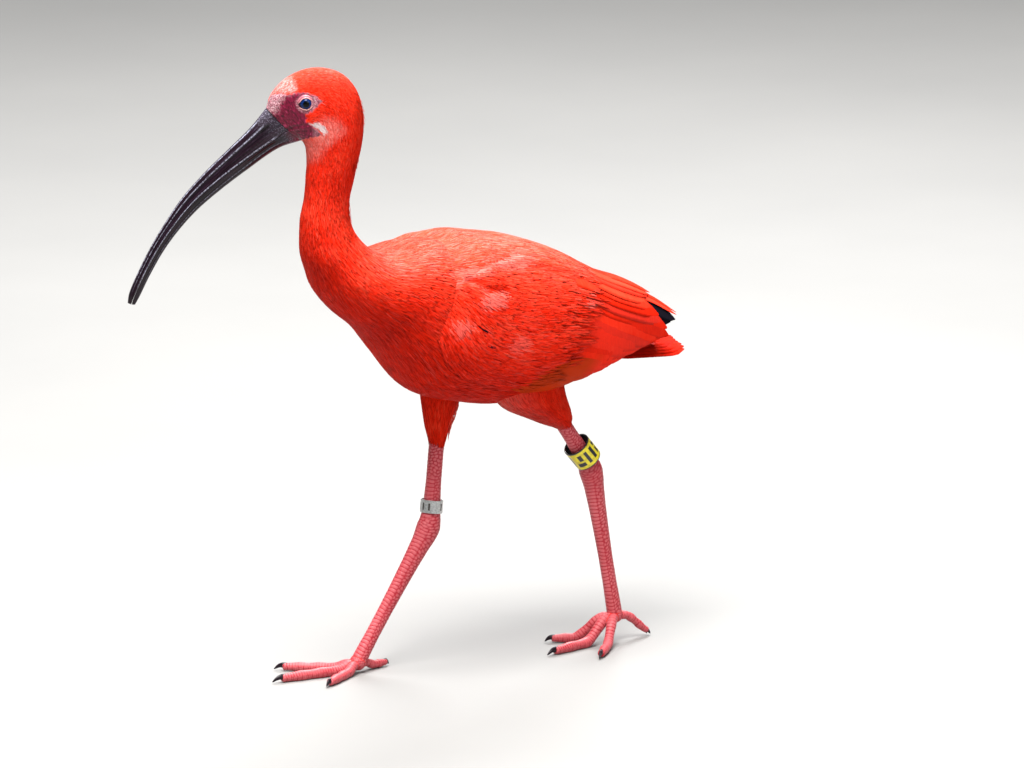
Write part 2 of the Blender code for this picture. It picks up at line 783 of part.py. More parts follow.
def make_shank(name, top, heel):
    """The bare lower part of the upper leg, down to the swelling of the heel."""
    start = Vector(top)
    stop = Vector(heel)
    along = (stop - start).normalized()
    reach = (stop - start).length - HEEL_REACH
    last = len(SHANK_RADII) - 1
    path = [start + along * (GAP + reach * k / last) for k in range(last + 1)]
    return tube(name, path, SHANK_RADII, 12)


def make_tarsus(name, top, heel, toe_joint):
    """The heel joint and the tarsus below it."""
    shank = (Vector(heel) - Vector(top)).normalized()
    bone = (Vector(toe_joint) - Vector(heel)).normalized()
    length = (Vector(toe_joint) - Vector(heel)).length
    path = []
    radii = []
    for above, wide, deep in HEEL_PROFILE:
        path.append(Vector(heel) - shank * above)
        radii.append((wide, deep))
    for share, wide, deep in TARSUS_PROFILE:
        path.append(Vector(heel) + bone * length * share)
        radii.append((wide, deep))
    path.append(Vector(toe_joint) - bone * (BALL_RADIUS - 2 * GAP))
    radii.append(TARSUS_FOOT)
    return tube(name, path, radii, 12)


def toe_point(toe_joint, heading, distance):
    """The middle of a toe at a distance from the foot's joint, sinking to the floor ahead of it."""
    joint = Vector(toe_joint)
    drop_length = max(0.0, joint.z - TOE_HEIGHT) * 1.25 + 4.0
    fall = smooth_step((distance - BALL_RADIUS) / drop_length)
    start_z = joint.z - 1.0
    z = start_z + (TOE_HEIGHT - start_z) * fall
    return Vector((joint.x + math.cos(heading) * distance, joint.y + math.sin(heading) * distance, z))


def level_way(heading):
    return Vector((math.cos(heading), math.sin(heading), 0.0))


def toe_heading(side, outward):
    return math.pi - side * math.radians(outward + TOE_OUT)


def make_web(toe_joint, heading_a, heading_b):
    """The small web between the roots of two toes."""
    corners = [toe_point(toe_joint, heading_a, distance) for distance in (WEB_START, WEB_REACH)]
    corners += [toe_point(toe_joint, heading_b, distance) for distance in (WEB_REACH, WEB_START)]
    up = Vector((0, 0, WEB_THICKNESS / 2))
    return loft("web", [[p - up for p in corners], [p + up for p in corners]])


def make_palm(name, toe_joint, side):
    """The ball of the foot with the roots of its toes and the webs between them."""
    palm = add_sphere(name, toe_joint, BALL_RADIUS - 1.0, 12, 8)
    pieces = []
    headings = [toe_heading(side, toe[1]) for toe in TOES]
    for (_, _, _, radius), heading in zip((*TOES, HIND_TOE), (*headings, toe_heading(side, HIND_TOE[1]))):
        reach = TOE_START if radius != HIND_TOE[3] else BALL_RADIUS
        path = [toe_point(toe_joint, heading, distance) for distance in (1.0, reach / 2, reach - GAP)]
        ends = (None, level_way(heading))
        pieces.append(tube("root", path, [radius * 0.8, radius * 0.9, radius], 8, ends))
    pieces += [make_web(toe_joint, a, b) for a, b in zip(headings, headings[1:])]
    combine(palm, pieces, "UNION")
    flatten_soles(palm)
    return palm


def make_toe(name, toe_joint, heading, start, length, radius):
    """A toe with its pads and its claw, pressed flat where it stands."""
    path = []
    for share, _ in TOE_PROFILE:
        point = toe_point(toe_joint, heading, start + (length - start) * share)
        if share > CLAW_START:
            point.z = TOE_HEIGHT - CLAW_DROP * (share - CLAW_START) / (1.0 - CLAW_START)
        path.append(point)
    radii = [radius * part for _, part in TOE_PROFILE]
    toe = tube(name, path, radii, 8, (level_way(heading), None))
    flatten_soles(toe)
    return toe


def make_foot(label, toe_joint, side):
    """The palm of the foot and its four toes, as separate pieces that meet."""
    parts = [make_palm("foot_" + label, toe_joint, side)]
    for toe, outward, length, radius in TOES:
        heading = toe_heading(side, outward)
        parts.append(make_toe(f"toe_{toe}_{label}", toe_joint, heading, TOE_START, length, radius))
    toe, outward, length, radius = HIND_TOE
    heading = toe_heading(side, outward)
    parts.append(make_toe(f"toe_{toe}_{label}", toe_joint, heading, BALL_RADIUS, length, radius))
    return parts


def make_ring(name, size, top, heel, offset):
    """A leg ring, turned round the shank's line."""
    start = Vector(top)
    stop = Vector(heel)
    along = ((stop - start).normalized() + Vector(size["lean"])).normalized()
    share = (start.z - size["z"]) / (start.z - stop.z)
    centre = start + (stop - start) * share + Vector(offset)
    half = size["length"] / 2
    outline = (
        (size["outer"], half), (size["outer"], -half), (size["inner"], -half), (size["inner"], half),
    )
    mesh = bpy.data.meshes.new(name)
    mesh.from_pydata(
        [Vector((r, 0, z)) * MM for r, z in outline],
        [(k, (k + 1) % len(outline)) for k in range(len(outline))],
        [],
    )
    item = bpy.data.objects.new(name, mesh)
    bpy.context.scene.collection.objects.link(item)
    spin = item.modifiers.new("spin", "SCREW")
    spin.steps = 20
    spin.render_steps = 20
    spin.use_merge_vertices = True
    spin.merge_threshold = 0.00001
    apply_modifiers(item)
    form = bmesh.new()
    form.from_mesh(item.data)
    bmesh.ops.recalc_face_normals(form, faces=form.faces)
    form.to_mesh(item.data)
    form.free()
    lean = Vector((0, 0, 1)).rotation_difference(-along).to_matrix().to_4x4()
    item.data.transform(Matrix.Translation(centre * MM) @ lean)
    return item


def finish(parts, group, root):
    """Gathers the pieces in one collection and stands them on the floor about the origin."""
    slots = {}
    low = Vector((1e9,) * 3)
    high = Vector((-1e9,) * 3)
    for slot, item in parts:
        for holder in list(item.users_collection):
            holder.objects.unlink(item)
        group.objects.link(item)
        if slot not in slots:
            slots[slot] = make_material(slot)
        item.data.materials.clear()
        item.data.materials.append(slots[slot])
        item.data.shade_smooth()
        item.data.set_sharp_from_angle(angle=math.radians(35))
        item.parent = root
        for vert in item.data.vertices:
            low = Vector(map(min, low, vert.co))
            high = Vector(map(max, high, vert.co))
    root.location = (-(low.x + high.x) / 2, -(low.y + high.y) / 2, -low.z)
    print("size", [round(s * 1000, 2) for s in high - low], "shift", [round(s, 6) for s in root.location])


def main():
    clear_scene()
    group = bpy.data.collections.new("scarlet_ibis")
    bpy.context.scene.collection.children.link(group)
    root = bpy.data.objects.new("scarlet_ibis_root", None)
    group.objects.link(root)
    parts = [
        ("plumage", make_torso()),
        ("plumage", make_neck()),
        ("plumage", make_head()),
        ("bill_horn", make_bill_upper()),
        ("bill_horn", make_bill_lower()),
        ("eye", make_eye("eye_left", -1)),
        ("eye", make_eye("eye_right", 1)),
        ("plumage", make_wing("wing_left", -1, 11)),
        ("plumage", make_wing("wing_right", 1, 12)),
        ("plumage", make_tail()),
        ("plumage", make_thigh("thigh_left", THIGH_LEFT_ROWS)),
        ("plumage", make_thigh("thigh_right", THIGH_RIGHT_ROWS)),
        ("leg_skin", make_shank("shank_left", SHANK_TOP_LEFT, HEEL_LEFT)),
        ("leg_skin", make_shank("shank_right", SHANK_TOP_RIGHT, HEEL_RIGHT)),
        ("leg_skin", make_tarsus("tarsus_left", SHANK_TOP_LEFT, HEEL_LEFT, TOE_JOINT_LEFT)),
        ("leg_skin", make_tarsus("tarsus_right", SHANK_TOP_RIGHT, HEEL_RIGHT, TOE_JOINT_RIGHT)),
        ("ring_metal", make_ring("ring_metal", METAL_RING, SHANK_TOP_RIGHT, HEEL_RIGHT, (0, 0, 0))),
        ("ring_yellow", make_ring("ring_yellow", YELLOW_RING, SHANK_TOP_LEFT, HEEL_LEFT, (0.8, 0, 0))),
    ]
    for label, joint, side in (("left", TOE_JOINT_LEFT, -1), ("right", TOE_JOINT_RIGHT, 1)):
        parts += [("leg_skin", item) for item in make_foot(label, joint, side)]
    finish(parts, group, root)


main()
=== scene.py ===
import math

import bpy
import numpy as np
from mathutils import Matrix, Vector, noise


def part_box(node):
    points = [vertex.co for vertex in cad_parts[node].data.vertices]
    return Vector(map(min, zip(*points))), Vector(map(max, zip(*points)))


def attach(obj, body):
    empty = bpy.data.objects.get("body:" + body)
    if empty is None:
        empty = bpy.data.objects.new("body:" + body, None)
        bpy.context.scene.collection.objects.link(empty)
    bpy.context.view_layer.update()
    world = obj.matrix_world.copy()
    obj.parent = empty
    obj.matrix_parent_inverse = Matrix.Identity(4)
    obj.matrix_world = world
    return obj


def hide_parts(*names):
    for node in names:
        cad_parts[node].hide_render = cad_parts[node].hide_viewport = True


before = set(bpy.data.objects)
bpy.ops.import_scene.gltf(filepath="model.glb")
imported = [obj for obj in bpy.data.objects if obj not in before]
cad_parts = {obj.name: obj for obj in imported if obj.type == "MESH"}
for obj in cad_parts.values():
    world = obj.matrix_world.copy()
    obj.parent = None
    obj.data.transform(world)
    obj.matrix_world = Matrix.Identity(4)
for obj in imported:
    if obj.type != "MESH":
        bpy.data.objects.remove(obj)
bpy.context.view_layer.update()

print("frame loaded with", len(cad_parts), "nodes")

# All sizes below are millimetres in the bird's own frame: it faces -X, its left side faces -Y and the
# floor is at z = 0. Head and neck are drawn unrolled in the body's plane and turned about the neck.

mm = 0.001
neckAxisX = -144.0
headTurn = math.radians(37.0)

# sections of the body: back or crown (x, z), breast or throat (x, z), half width, share of the turn
bodyRows = {
    "billBase": (-181.4, 377.0, -158.8, 355.3, 7.8, 1.0),
    "forehead": (-178.5, 385.3, -157.6, 354.6, 9.6, 1.0),
    "brow": (-170.4, 394.5, -157.0, 352.9, 12.0, 1.0),
    "eye": (-158.1, 400.9, -156.6, 351.2, 13.7, 1.0),
    "crown": (-145.5, 402.2, -156.4, 349.4, 14.7, 1.0),
    "hindCrown": (-133.2, 398.1, -156.2, 347.4, 14.9, 1.0),
    "napeTop": (-124.5, 388.3, -156.1, 345.3, 14.9, 1.0),
    "nape": (-120.2, 374.0, -156.0, 343.1, 14.8, 1.0),
    "napeLow": (-120.0, 361.2, -156.0, 340.5, 14.6, 1.0),
    "throat": (-121.6, 349.9, -156.1, 337.4, 14.6, 0.97),
    "neckTop": (-124.2, 339.1, -156.6, 332.7, 14.7, 0.88),
    "neckHigh": (-126.4, 328.8, -156.8, 326.3, 14.3, 0.7),
    "neckMid": (-129.0, 317.5, -157.7, 316.7, 14.2, 0.42),
    "neckLow": (-128.9, 304.7, -160.1, 305.4, 15.0, 0.16),
    "neckRoot": (-125.6, 295.4, -160.3, 294.1, 17.1, 0.04),
    "cropHigh": (-119.4, 287.6, -158.6, 282.1, 21.0, 0.0),
    "crop": (-111.4, 281.2, -152.6, 269.3, 26.9, 0.0),
    "breastHigh": (-101.6, 278.2, -145.4, 255.8, 33.0, 0.0),
    "breast": (-90.7, 279.0, -131.6, 240.7, 38.3, 0.0),
    "shoulder": (-77.8, 281.4, -113.5, 226.3, 42.6, 0.0),
    "wingFront": (-62.4, 281.0, -96.7, 206.5, 45.5, 0.0),
    "backHigh": (-45.6, 277.2, -76.0, 183.5, 47.0, 0.0),
    "back": (-25.8, 272.4, -47.7, 173.9, 46.2, 0.0),
    "loin": (-2.0, 265.6, -17.9, 168.2, 44.9, 0.0),
    "rumpFront": (21.9, 256.3, 10.0, 169.6, 41.4, 0.0),
    "rump": (44.0, 244.9, 34.0, 175.5, 36.0, 0.0),
    "vent": (64.0, 233.0, 56.1, 181.0, 29.0, 0.0),
    "tailRoot": (80.1, 222.1, 76.2, 184.5, 23.1, 0.0),
    "tailCore": (94.3, 209.6, 92.3, 186.5, 18.1, 0.0),
    "tailCoreEnd": (104.4, 200.6, 104.4, 187.5, 14.1, 0.0),
}
bodyRoundness = 0.92

# outer envelope of the folded wings, in the same form
wingRows = np.array((
    (-83.1, 280.9, -125.5, 221.0, 46.5),
    (-61.4, 282.5, -101.0, 199.3, 50.0),
    (-41.6, 282.2, -73.4, 184.5, 51.8),
    (-21.8, 277.8, -43.7, 177.0, 52.0),
    (4.0, 271.5, -14.0, 171.0, 51.0),
    (32.0, 261.0, 16.0, 171.5, 47.5),
    (60.0, 246.5, 46.0, 174.0, 41.0),
    (84.0, 236.5, 72.0, 177.0, 33.0),
    (106.0, 225.0, 97.0, 179.0, 25.0),
    (126.0, 212.0, 120.0, 181.0, 17.5),
    (142.0, 201.0, 138.0, 185.0, 12.0),
))
wingSquareness = 0.8

eye = {"centre": (-155.9, 382.0, 10.1), "radius": 5.2}


def smooth(x):
    x = np.clip(x, 0.0, 1.0)
    return x * x * (3.0 - 2.0 * x)


def between(x, low, high):
    return smooth((x - low) / (high - low))


def unit(v):
    return v / np.maximum(np.linalg.norm(v, axis=-1, keepdims=True), 1e-9)


def roundTurns(count):
    # angles of so many points on a circle
    return np.arange(count) * 2 * math.pi / count


def hump(away, height, at, wide):
    # a soft rise of that height where away comes near at
    return height * np.exp(-((away - at) / wide) ** 2)


def runningLength(points):
    # the distance along a line of points, at each of them
    return np.concatenate([[0.0], np.cumsum(np.linalg.norm(np.diff(points, axis=0), axis=1))])


def middleLengths(table):
    # the same along the middles of a table of sections
    return runningLength((table[:, :2] + table[:, 2:4]) / 2)


def rowsAt(table, times, t):
    # the rows' values at each t, on a smooth curve through all rows
    last = len(times) - 1
    t = np.clip(t, times[0] - 3.0, times[-1] + 3.0)
    i = np.clip(np.searchsorted(times, t, side="right") - 1, 0, last - 1)
    span = (times[i + 1] - times[i])[:, None]
    s = (t - times[i])[:, None] / span
    low = np.maximum(i - 1, 0)
    high = np.minimum(i + 2, last)
    slopeA = (table[i + 1] - table[low]) / (times[i + 1] - times[low])[:, None]
    slopeB = (table[high] - table[i]) / (times[high] - times[i])[:, None]
    return (
        table[i] * (2 * s ** 3 - 3 * s ** 2 + 1)
        + table[i + 1] * (3 * s ** 2 - 2 * s ** 3)
        + span * slopeA * (s ** 3 - 2 * s ** 2 + s)
        + span * slopeB * (s ** 3 - s ** 2)
    )


def turned(x, y, z, turn):
    # a point of the unrolled bird, turned about the neck
    angle = headTurn * turn
    ahead = neckAxisX - x
    return np.stack([
        neckAxisX - ahead * np.cos(angle) + y * np.sin(angle),
        ahead * np.sin(angle) + y * np.cos(angle),
        z + 0.0 * x,
    ], -1)


def headPoint(x, y, z):
    return turned(np.float64(x), np.float64(y), np.float64(z), 1.0)


def headWay(x, y, z):
    # a direction in the head's plane, turned with the head
    c, s = math.cos(headTurn), math.sin(headTurn)
    return np.array((x * c + y * s, -x * s + y * c, z))


def powered(value, exponent):
    return np.sign(value) * np.abs(value) ** exponent


bodyTable = np.array(list(bodyRows.values()))
bodyTimes = middleLengths(bodyTable)
bodyTime = dict(zip(bodyRows, bodyTimes))
wingTimes = (wingRows[:, 0] + wingRows[:, 2]) / 2


def sectionFlat(row, angle, power, grow):
    reach = np.hypot(row[:, 0] - row[:, 2], row[:, 1] - row[:, 3]) / 2
    along = powered(np.cos(angle), power) * (reach + grow) / reach / 2
    across = powered(np.sin(angle), power) * (row[:, 4] + grow)
    x = (row[:, 0] + row[:, 2]) / 2 + (row[:, 0] - row[:, 2]) * along
    z = (row[:, 1] + row[:, 3]) / 2 + (row[:, 1] - row[:, 3]) * along
    return x, across, z


def bodyFlat(t, angle, grow=0.0):
    row = rowsAt(bodyTable, bodyTimes, t)
    x, y, z = sectionFlat(row, angle, bodyRoundness, grow)
    return x, y, z, row[:, 5]


def bodyPoint(t, angle):
    return turned(*bodyFlat(t, angle))


def wingShape(side, x, degrees, grow):
    # points over the wing's envelope: x along the wing and the angle down from the back in degrees
    row = rowsAt(wingRows, wingTimes, x)
    return np.stack(sectionFlat(row, side * np.radians(degrees), wingSquareness, grow), -1)


def wingEnvelope(side):
    return lambda x, degrees: wingShape(side, x, degrees, 0.0)


def surfaceFrame(place, t, angle, stepT, stepAngle):
    # ways along t and along the angle for one unit of each, and the way out
    alongT = (place(t + stepT, angle) - place(t - stepT, angle)) / (2 * stepT)
    alongAngle = (place(t, angle + stepAngle) - place(t, angle - stepAngle)) / (2 * stepAngle)
    out = unit(np.cross(alongT, alongAngle))
    return alongT, alongAngle, out


def noiseAt(points, scale, seed=0.0):
    # smooth noise between about -1 and 1
    shift = Vector((seed * 17.3, seed * 5.1, seed * 9.7))
    return np.array([noise.noise(Vector(p) / scale + shift) for p in points])


def awayFrom(x, z, a, b):
    # distance to the straight line from a to b
    edge = b - a
    share = np.clip(((x - a[0]) * edge[0] + (z - a[1]) * edge[1]) / edge.dot(edge), 0.0, 1.0)
    return np.hypot(x - a[0] - edge[0] * share, z - a[1] - edge[1] * share)


def polylineAway(x, z, line):
    line = np.array(line)
    return np.min([awayFrom(x, z, a, b) for a, b in zip(line, line[1:])], axis=0)


def insideOutline(x, z, outline):
    # signed distance to a closed outline, positive inside
    corners = np.array(outline)
    inside = np.zeros(len(x), bool)
    for a, b in zip(corners, np.roll(corners, -1, axis=0)):
        with np.errstate(divide="ignore", invalid="ignore"):
            at = a[0] + (z - a[1]) * (b[0] - a[0]) / (b[1] - a[1])
        inside ^= ((a[1] > z) != (b[1] > z)) & (x < at)
    nearest = polylineAway(x, z, [*outline, outline[0]])
    return np.where(inside, nearest, -nearest)


# the bird's own frame is shifted so that the CAD's box stands over the origin
eyeLow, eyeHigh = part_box("eye_left")
eyeX, eyeZ, eyeOut = eye["centre"]
birdShift = np.array((eyeLow + eyeHigh) / 2) - headPoint(eyeX, -eyeOut, eyeZ) * mm
print("shift of the bird's frame", np.round(birdShift, 5))


def toWorld(points):
    return np.asarray(points) * mm + birdShift


def makeMesh(name, points, faceSets, values=None, uvs=None):
    # a mesh from arrays of faces with 3 or 4 corners, with values at its points and UV maps
    flat = np.concatenate([f.reshape(-1) for f in faceSets]).astype(np.int32)
    sizes = np.concatenate([np.full(len(f), f.shape[1]) for f in faceSets])
    starts = np.concatenate([[0], np.cumsum(sizes)[:-1]]).astype(np.int32)
    mesh = bpy.data.meshes.new(name)
    mesh.vertices.add(len(points))
    mesh.vertices.foreach_set("co", toWorld(points).astype(np.float32).ravel())
    mesh.loops.add(len(flat))
    mesh.loops.foreach_set("vertex_index", flat)
    mesh.polygons.add(len(sizes))
    mesh.polygons.foreach_set("loop_start", starts)
    mesh.update(calc_edges=True)
    for key, value in (values or {}).items():
        value = np.asarray(value, np.float32)
        layer = mesh.attributes.new(key, "FLOAT" if value.ndim == 1 else "FLOAT_VECTOR", "POINT")
        layer.data.foreach_set("value" if value.ndim == 1 else "vector", value.ravel())
    for key, value in (uvs or {}).items():
        layer = mesh.uv_layers.new(name=key)
        layer.data.foreach_set("uv", np.asarray(value, np.float32)[flat].ravel())
    mesh.validate()
    mesh.shade_smooth()
    return mesh


def linkObject(name, data):
    item = bpy.data.objects.new(name, data)
    bpy.context.scene.collection.objects.link(item)
    return item


def addPiece(name, mesh, material, slotName, replaced=(), location=(0.0, 0.0, 0.0), turn=0.0):
    piece = linkObject(name, mesh)
    piece.location = location
    piece.rotation_euler = (0.0, 0.0, turn)
    mesh.materials.append(material)
    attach(piece, "root")
    if replaced:
        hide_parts(*replaced)
    print(name, sum(len(p.vertices) - 2 for p in mesh.polygons), "triangles")
    return piece


def gridFaces(levels, around, start=0):
    # quads between rings of points
    a = np.arange(levels - 1)[:, None] * around
    k = np.arange(around)[None, :]
    nextK = (k + 1) % around
    return (np.stack([a + k, a + nextK, a + nextK + around, a + k + around], -1) + start).reshape(-1, 4)


def capFaces(ring, centre, flip=False):
    # triangles from a ring of indices to a centre point
    ring = np.asarray(ring)
    after = np.roll(ring, -1)
    middle = np.full(len(ring), centre)
    return np.stack([after, ring, middle] if flip else [ring, after, middle], -1)


def closedGrid(rings):
    # points and faces of a closed body through rings of points, with a fan at each end
    levels, around, _ = rings.shape
    points = np.concatenate([rings.reshape(-1, 3), rings[0].mean(0)[None], rings[-1].mean(0)[None]])
    total = levels * around
    quads = gridFaces(levels, around)
    first = capFaces(np.arange(around), total, flip=True)
    last = capFaces(np.arange(around) + total - around, total + 1)
    return points, [quads, np.concatenate([first, last])]


def turnOut(points, faceSets):
    # flips all faces if the body is inside out
    tris = [faces[:, [0, k, k + 1]] for faces in faceSets for k in range(1, faces.shape[1] - 1)]
    a, b, c = points[np.concatenate(tris)].transpose(1, 0, 2)
    volume = np.einsum("ij,ij->i", a, np.cross(b, c)).sum()
    return faceSets if volume > 0 else [faces[:, ::-1] for faces in faceSets]


def closedMesh(name, rings, values=None, uvs=None):
    points, faceSets = closedGrid(rings)
    return makeMesh(name, points, turnOut(points, faceSets), values, uvs)


def loopFaces(around, levels):
    # quads of a closed hoop: so many sections, each with so many points
    a = np.arange(around)[:, None] * levels
    b = (np.arange(around)[:, None] + 1) % around * levels
    k = np.arange(levels)[None]
    after = (k + 1) % levels
    return np.stack([a + k, a + after, b + after, b + k], -1).reshape(-1, 4)


def sameEnds(values):
    # values of a grid, with those of the middles of its two ends
    flat = np.ravel(values)
    return np.append(flat, flat[[0, -1]])


def zeroEnds(values):
    return np.append(np.ravel(values), (0.0, 0.0))


# materials

def newMaterial(name):
    material = bpy.data.materials.new(name)
    material.use_nodes = True
    tree = material.node_tree
    return material, tree, tree.nodes["Principled BSDF"]


def setSockets(tree, node, values):
    # links other sockets or sets values, a colour comes as three numbers
    for key, value in values.items():
        socket = node.inputs[key]
        if isinstance(value, bpy.types.NodeSocket):
            tree.links.new(value, socket)
        else:
            socket.default_value = (*value, 1.0) if socket.type == "RGBA" else value


def addNode(tree, kind, values=None, **settings):
    node = tree.nodes.new(kind)
    for key, value in settings.items():
        setattr(node, key, value)
    setSockets(tree, node, values or {})
    return node


def readValue(tree, name):
    return addNode(tree, "ShaderNodeAttribute", attribute_name=name).outputs["Fac"]


def objectPlace(tree):
    return addNode(tree, "ShaderNodeTexCoord").outputs["Object"]


def addNoise(tree, place, scale, detail):
    return addNode(tree, "ShaderNodeTexNoise", {"Vector": place, "Scale": scale, "Detail": detail}).outputs


def mixColour(tree, share, a, b):
    return addNode(tree, "ShaderNodeMix", {0: share, 6: a, 7: b}, data_type="RGBA").outputs[2]


def doMath(tree, operation, a, b=0.0):
    return addNode(tree, "ShaderNodeMath", {0: a, 1: b}, operation=operation).outputs[0]


def addShares(tree, *parts):
    # the sum of all values, each times its share
    total = None
    for value, share in parts:
        part = doMath(tree, "MULTIPLY", value, share)
        total = doMath(tree, "ADD", total, part) if total else part
    return total


def rangeOf(tree, value, low, high, newLow=0.0, newHigh=1.0):
    limits = {"Value": value, "From Min": low, "From Max": high, "To Min": newLow, "To Max": newHigh}
    return addNode(tree, "ShaderNodeMapRange", limits).outputs[0]


def addBump(tree, shader, strength, distance, height, **more):
    values = {"Strength": strength, "Distance": distance, "Height": height, **more}
    tree.links.new(addNode(tree, "ShaderNodeBump", values).outputs[0], shader.inputs["Normal"])


def newGroup(name, inputs, outputs, kind="NodeSocketFloat"):
    # inputs: name to default; outputs: names of sockets of one kind
    group = bpy.data.node_groups.new(name, "ShaderNodeTree")
    for key, default in inputs.items():
        group.interface.new_socket(key, in_out="INPUT", socket_type="NodeSocketFloat").default_value = default
    for key in outputs:
        group.interface.new_socket(key, in_out="OUTPUT", socket_type=kind)
    return group, group.nodes.new("NodeGroupInput").outputs, group.nodes.new("NodeGroupOutput").inputs


def useGroup(tree, group, **values):
    return addNode(tree, "ShaderNodeGroup", values, node_tree=group).outputs


def makeDriftGroup():
    # soft patches of tone over the body, from broad to fine
    group, given, put = newGroup("toneDrift", {"Broad": 28.0, "Fine": 240.0, "Fine Share": 0.35}, ("Tone",))
    place = objectPlace(group)
    mixed = addNode(group, "ShaderNodeMix", {
        "Factor": given["Fine Share"], "A": addNoise(group, place, given["Broad"], 2.0)["Fac"],
        "B": addNoise(group, place, given["Fine"], 3.0)["Fac"],
    })
    group.links.new(rangeOf(group, mixed.outputs[0], 0.3, 0.7), put["Tone"])
    return group


def stretchMap(group, across, along):
    return addNode(group, "ShaderNodeCombineXYZ", {"X": across, "Y": along}).outputs[0]


def splitMap(group):
    # a feather's own map in millimetres: across it and along it
    place = addNode(group, "ShaderNodeUVMap", uv_map="lie").outputs["UV"]
    split = addNode(group, "ShaderNodeSeparateXYZ", {"Vector": place}).outputs
    return split["X"], split["Y"]


def makeBarbGroup():
    # fine barbs that sweep forward from a feather's shaft
    group, given, put = newGroup("featherBarbs", {"Fineness": 1.0, "Sweep": 0.9}, ("Height", "Streak"))
    across, along = splitMap(group)
    outward = doMath(group, "ABSOLUTE", across)
    swept = doMath(group, "SUBTRACT", along, doMath(group, "MULTIPLY", outward, given["Sweep"]))
    barbs = stretchMap(group, doMath(group, "MULTIPLY", across, 0.16),
                       doMath(group, "MULTIPLY", swept, given["Fineness"]))
    shaft = doMath(group, "SUBTRACT", 1.0, rangeOf(group, outward, 0.1, 0.5))
    relief = addNoise(group, barbs, 2.6, 3.0)["Fac"]
    height = doMath(group, "ADD", relief, doMath(group, "MULTIPLY", shaft, 0.5))
    group.links.new(height, put["Height"])
    group.links.new(rangeOf(group, addNoise(group, barbs, 0.7, 1.0)["Fac"], 0.3, 0.7), put["Streak"])
    return group


def makeHairGroup():
    # hair-fine lines along a lock
    group, given, put = newGroup("hairLines", {"Across": 3.2, "Along": 0.1}, ("Line",))
    across, along = splitMap(group)
    hairs = stretchMap(group, doMath(group, "MULTIPLY", across, given["Across"]),
                       doMath(group, "MULTIPLY", along, given["Along"]))
    group.links.new(rangeOf(group, addNoise(group, hairs, 1.0, 2.0)["Fac"], 0.3, 0.7), put["Line"])
    return group


def makeCrinkleGroup():
    # small folds and pores of bare skin
    group, given, put = newGroup("skinCrinkle", {"Size": 700.0, "Sharpness": 0.5}, ("Height", "Crease"))
    place = objectPlace(group)
    wobble = {0: addNoise(group, place, 300.0, 2.0)["Color"], "Scale": 0.0012}
    wobble = addNode(group, "ShaderNodeVectorMath", wobble, operation="SCALE")
    moved = addNode(group, "ShaderNodeVectorMath", {0: place, 1: wobble.outputs[0]}, operation="ADD")
    cells = addNode(group, "ShaderNodeTexVoronoi", {"Vector": moved.outputs[0], "Scale": given["Size"]},
                    feature="SMOOTH_F1").outputs["Distance"]
    grain = addNoise(group, place, 2200.0, 3.0)["Fac"]
    height = addShares(group, (doMath(group, "SUBTRACT", 1.0, cells), given["Sharpness"]), (grain, 0.3))
    group.links.new(height, put["Height"])
    group.links.new(rangeOf(group, cells, 0.25, 0.6), put["Crease"])
    return group


def makeLayGroup():
    # the facing of the body under a feather, mixed with its own, so that the plumage shades as one
    group, given, put = newGroup("layFacing", {"Share": 0.5}, ("Normal",), "NodeSocketVector")
    kept = addNode(group, "ShaderNodeAttribute", attribute_name="lay").outputs["Vector"]
    facing = addNode(group, "ShaderNodeVectorTransform", {"Vector": kept}, vector_type="NORMAL",
                     convert_from="OBJECT", convert_to="WORLD").outputs[0]
    own = addNode(group, "ShaderNodeNewGeometry").outputs["Normal"]
    mixed = addNode(group, "ShaderNodeMix", {"Factor": given["Share"], 4: own, 5: facing}, data_type="VECTOR")
    even = addNode(group, "ShaderNodeVectorMath", {0: mixed.outputs[1]}, operation="NORMALIZE")
    group.links.new(even.outputs[0], put["Normal"])
    return group


layFacing = makeLayGroup()
toneDrift = makeDriftGroup()
hairLines = makeHairGroup()
featherBarbs = makeBarbGroup()
skinCrinkle = makeCrinkleGroup()

plumageLook = {
    "deep": (0.31, 0.0015, 0.0003), "scarlet": (0.88, 0.019, 0.004), "light": (0.97, 0.086, 0.040),
    "blush": (0.97, 0.26, 0.22), "dull": (0.46, 0.030, 0.001), "white": (0.86, 0.66, 0.66),
    # the last value is the strength of the painted highlight streaks on upward-facing locks
    "dark": (0.005, 0.005, 0.010), "paintedHighlight": 0.40,
}
featherLooks = {
    # shares: the feather's tone, drift over the body, its fine lines, and from root to tip; the last makes
    # each feather lighter towards its tip, painted glints on the tips
    "coatLocks": {
        "drift": (22.0, 260.0), "group": hairLines, "sizes": {"Across": 3.4, "Along": 0.1},
        "tone": "Line", "height": "Line", "shares": (0.66, 0.16, 0.18, 0.16), "darker": 0.06,
        "roughness": 0.55, "lay": 0.84, "bump": 0.2,
    },
    "vaneFeather": {
        "drift": (20.0, 200.0), "group": featherBarbs, "sizes": {"Fineness": 1.0, "Sweep": 0.9},
        "tone": "Streak", "height": "Height", "shares": (0.66, 0.16, 0.07, 0.08), "darker": 0.0,
        "roughness": 0.5, "lay": 0.8, "bump": 0.1,
    },
}


def plumageColour(tree, tone):
    look = plumageLook
    low = mixColour(tree, rangeOf(tree, tone, 0.0, 0.5), look["deep"], look["scarlet"])
    colour = mixColour(tree, rangeOf(tree, tone, 0.5, 1.0), low, look["light"])
    for mark in ("blush", "dull", "white", "dark"):
        colour = mixColour(tree, readValue(tree, mark), colour, look[mark])
    return colour


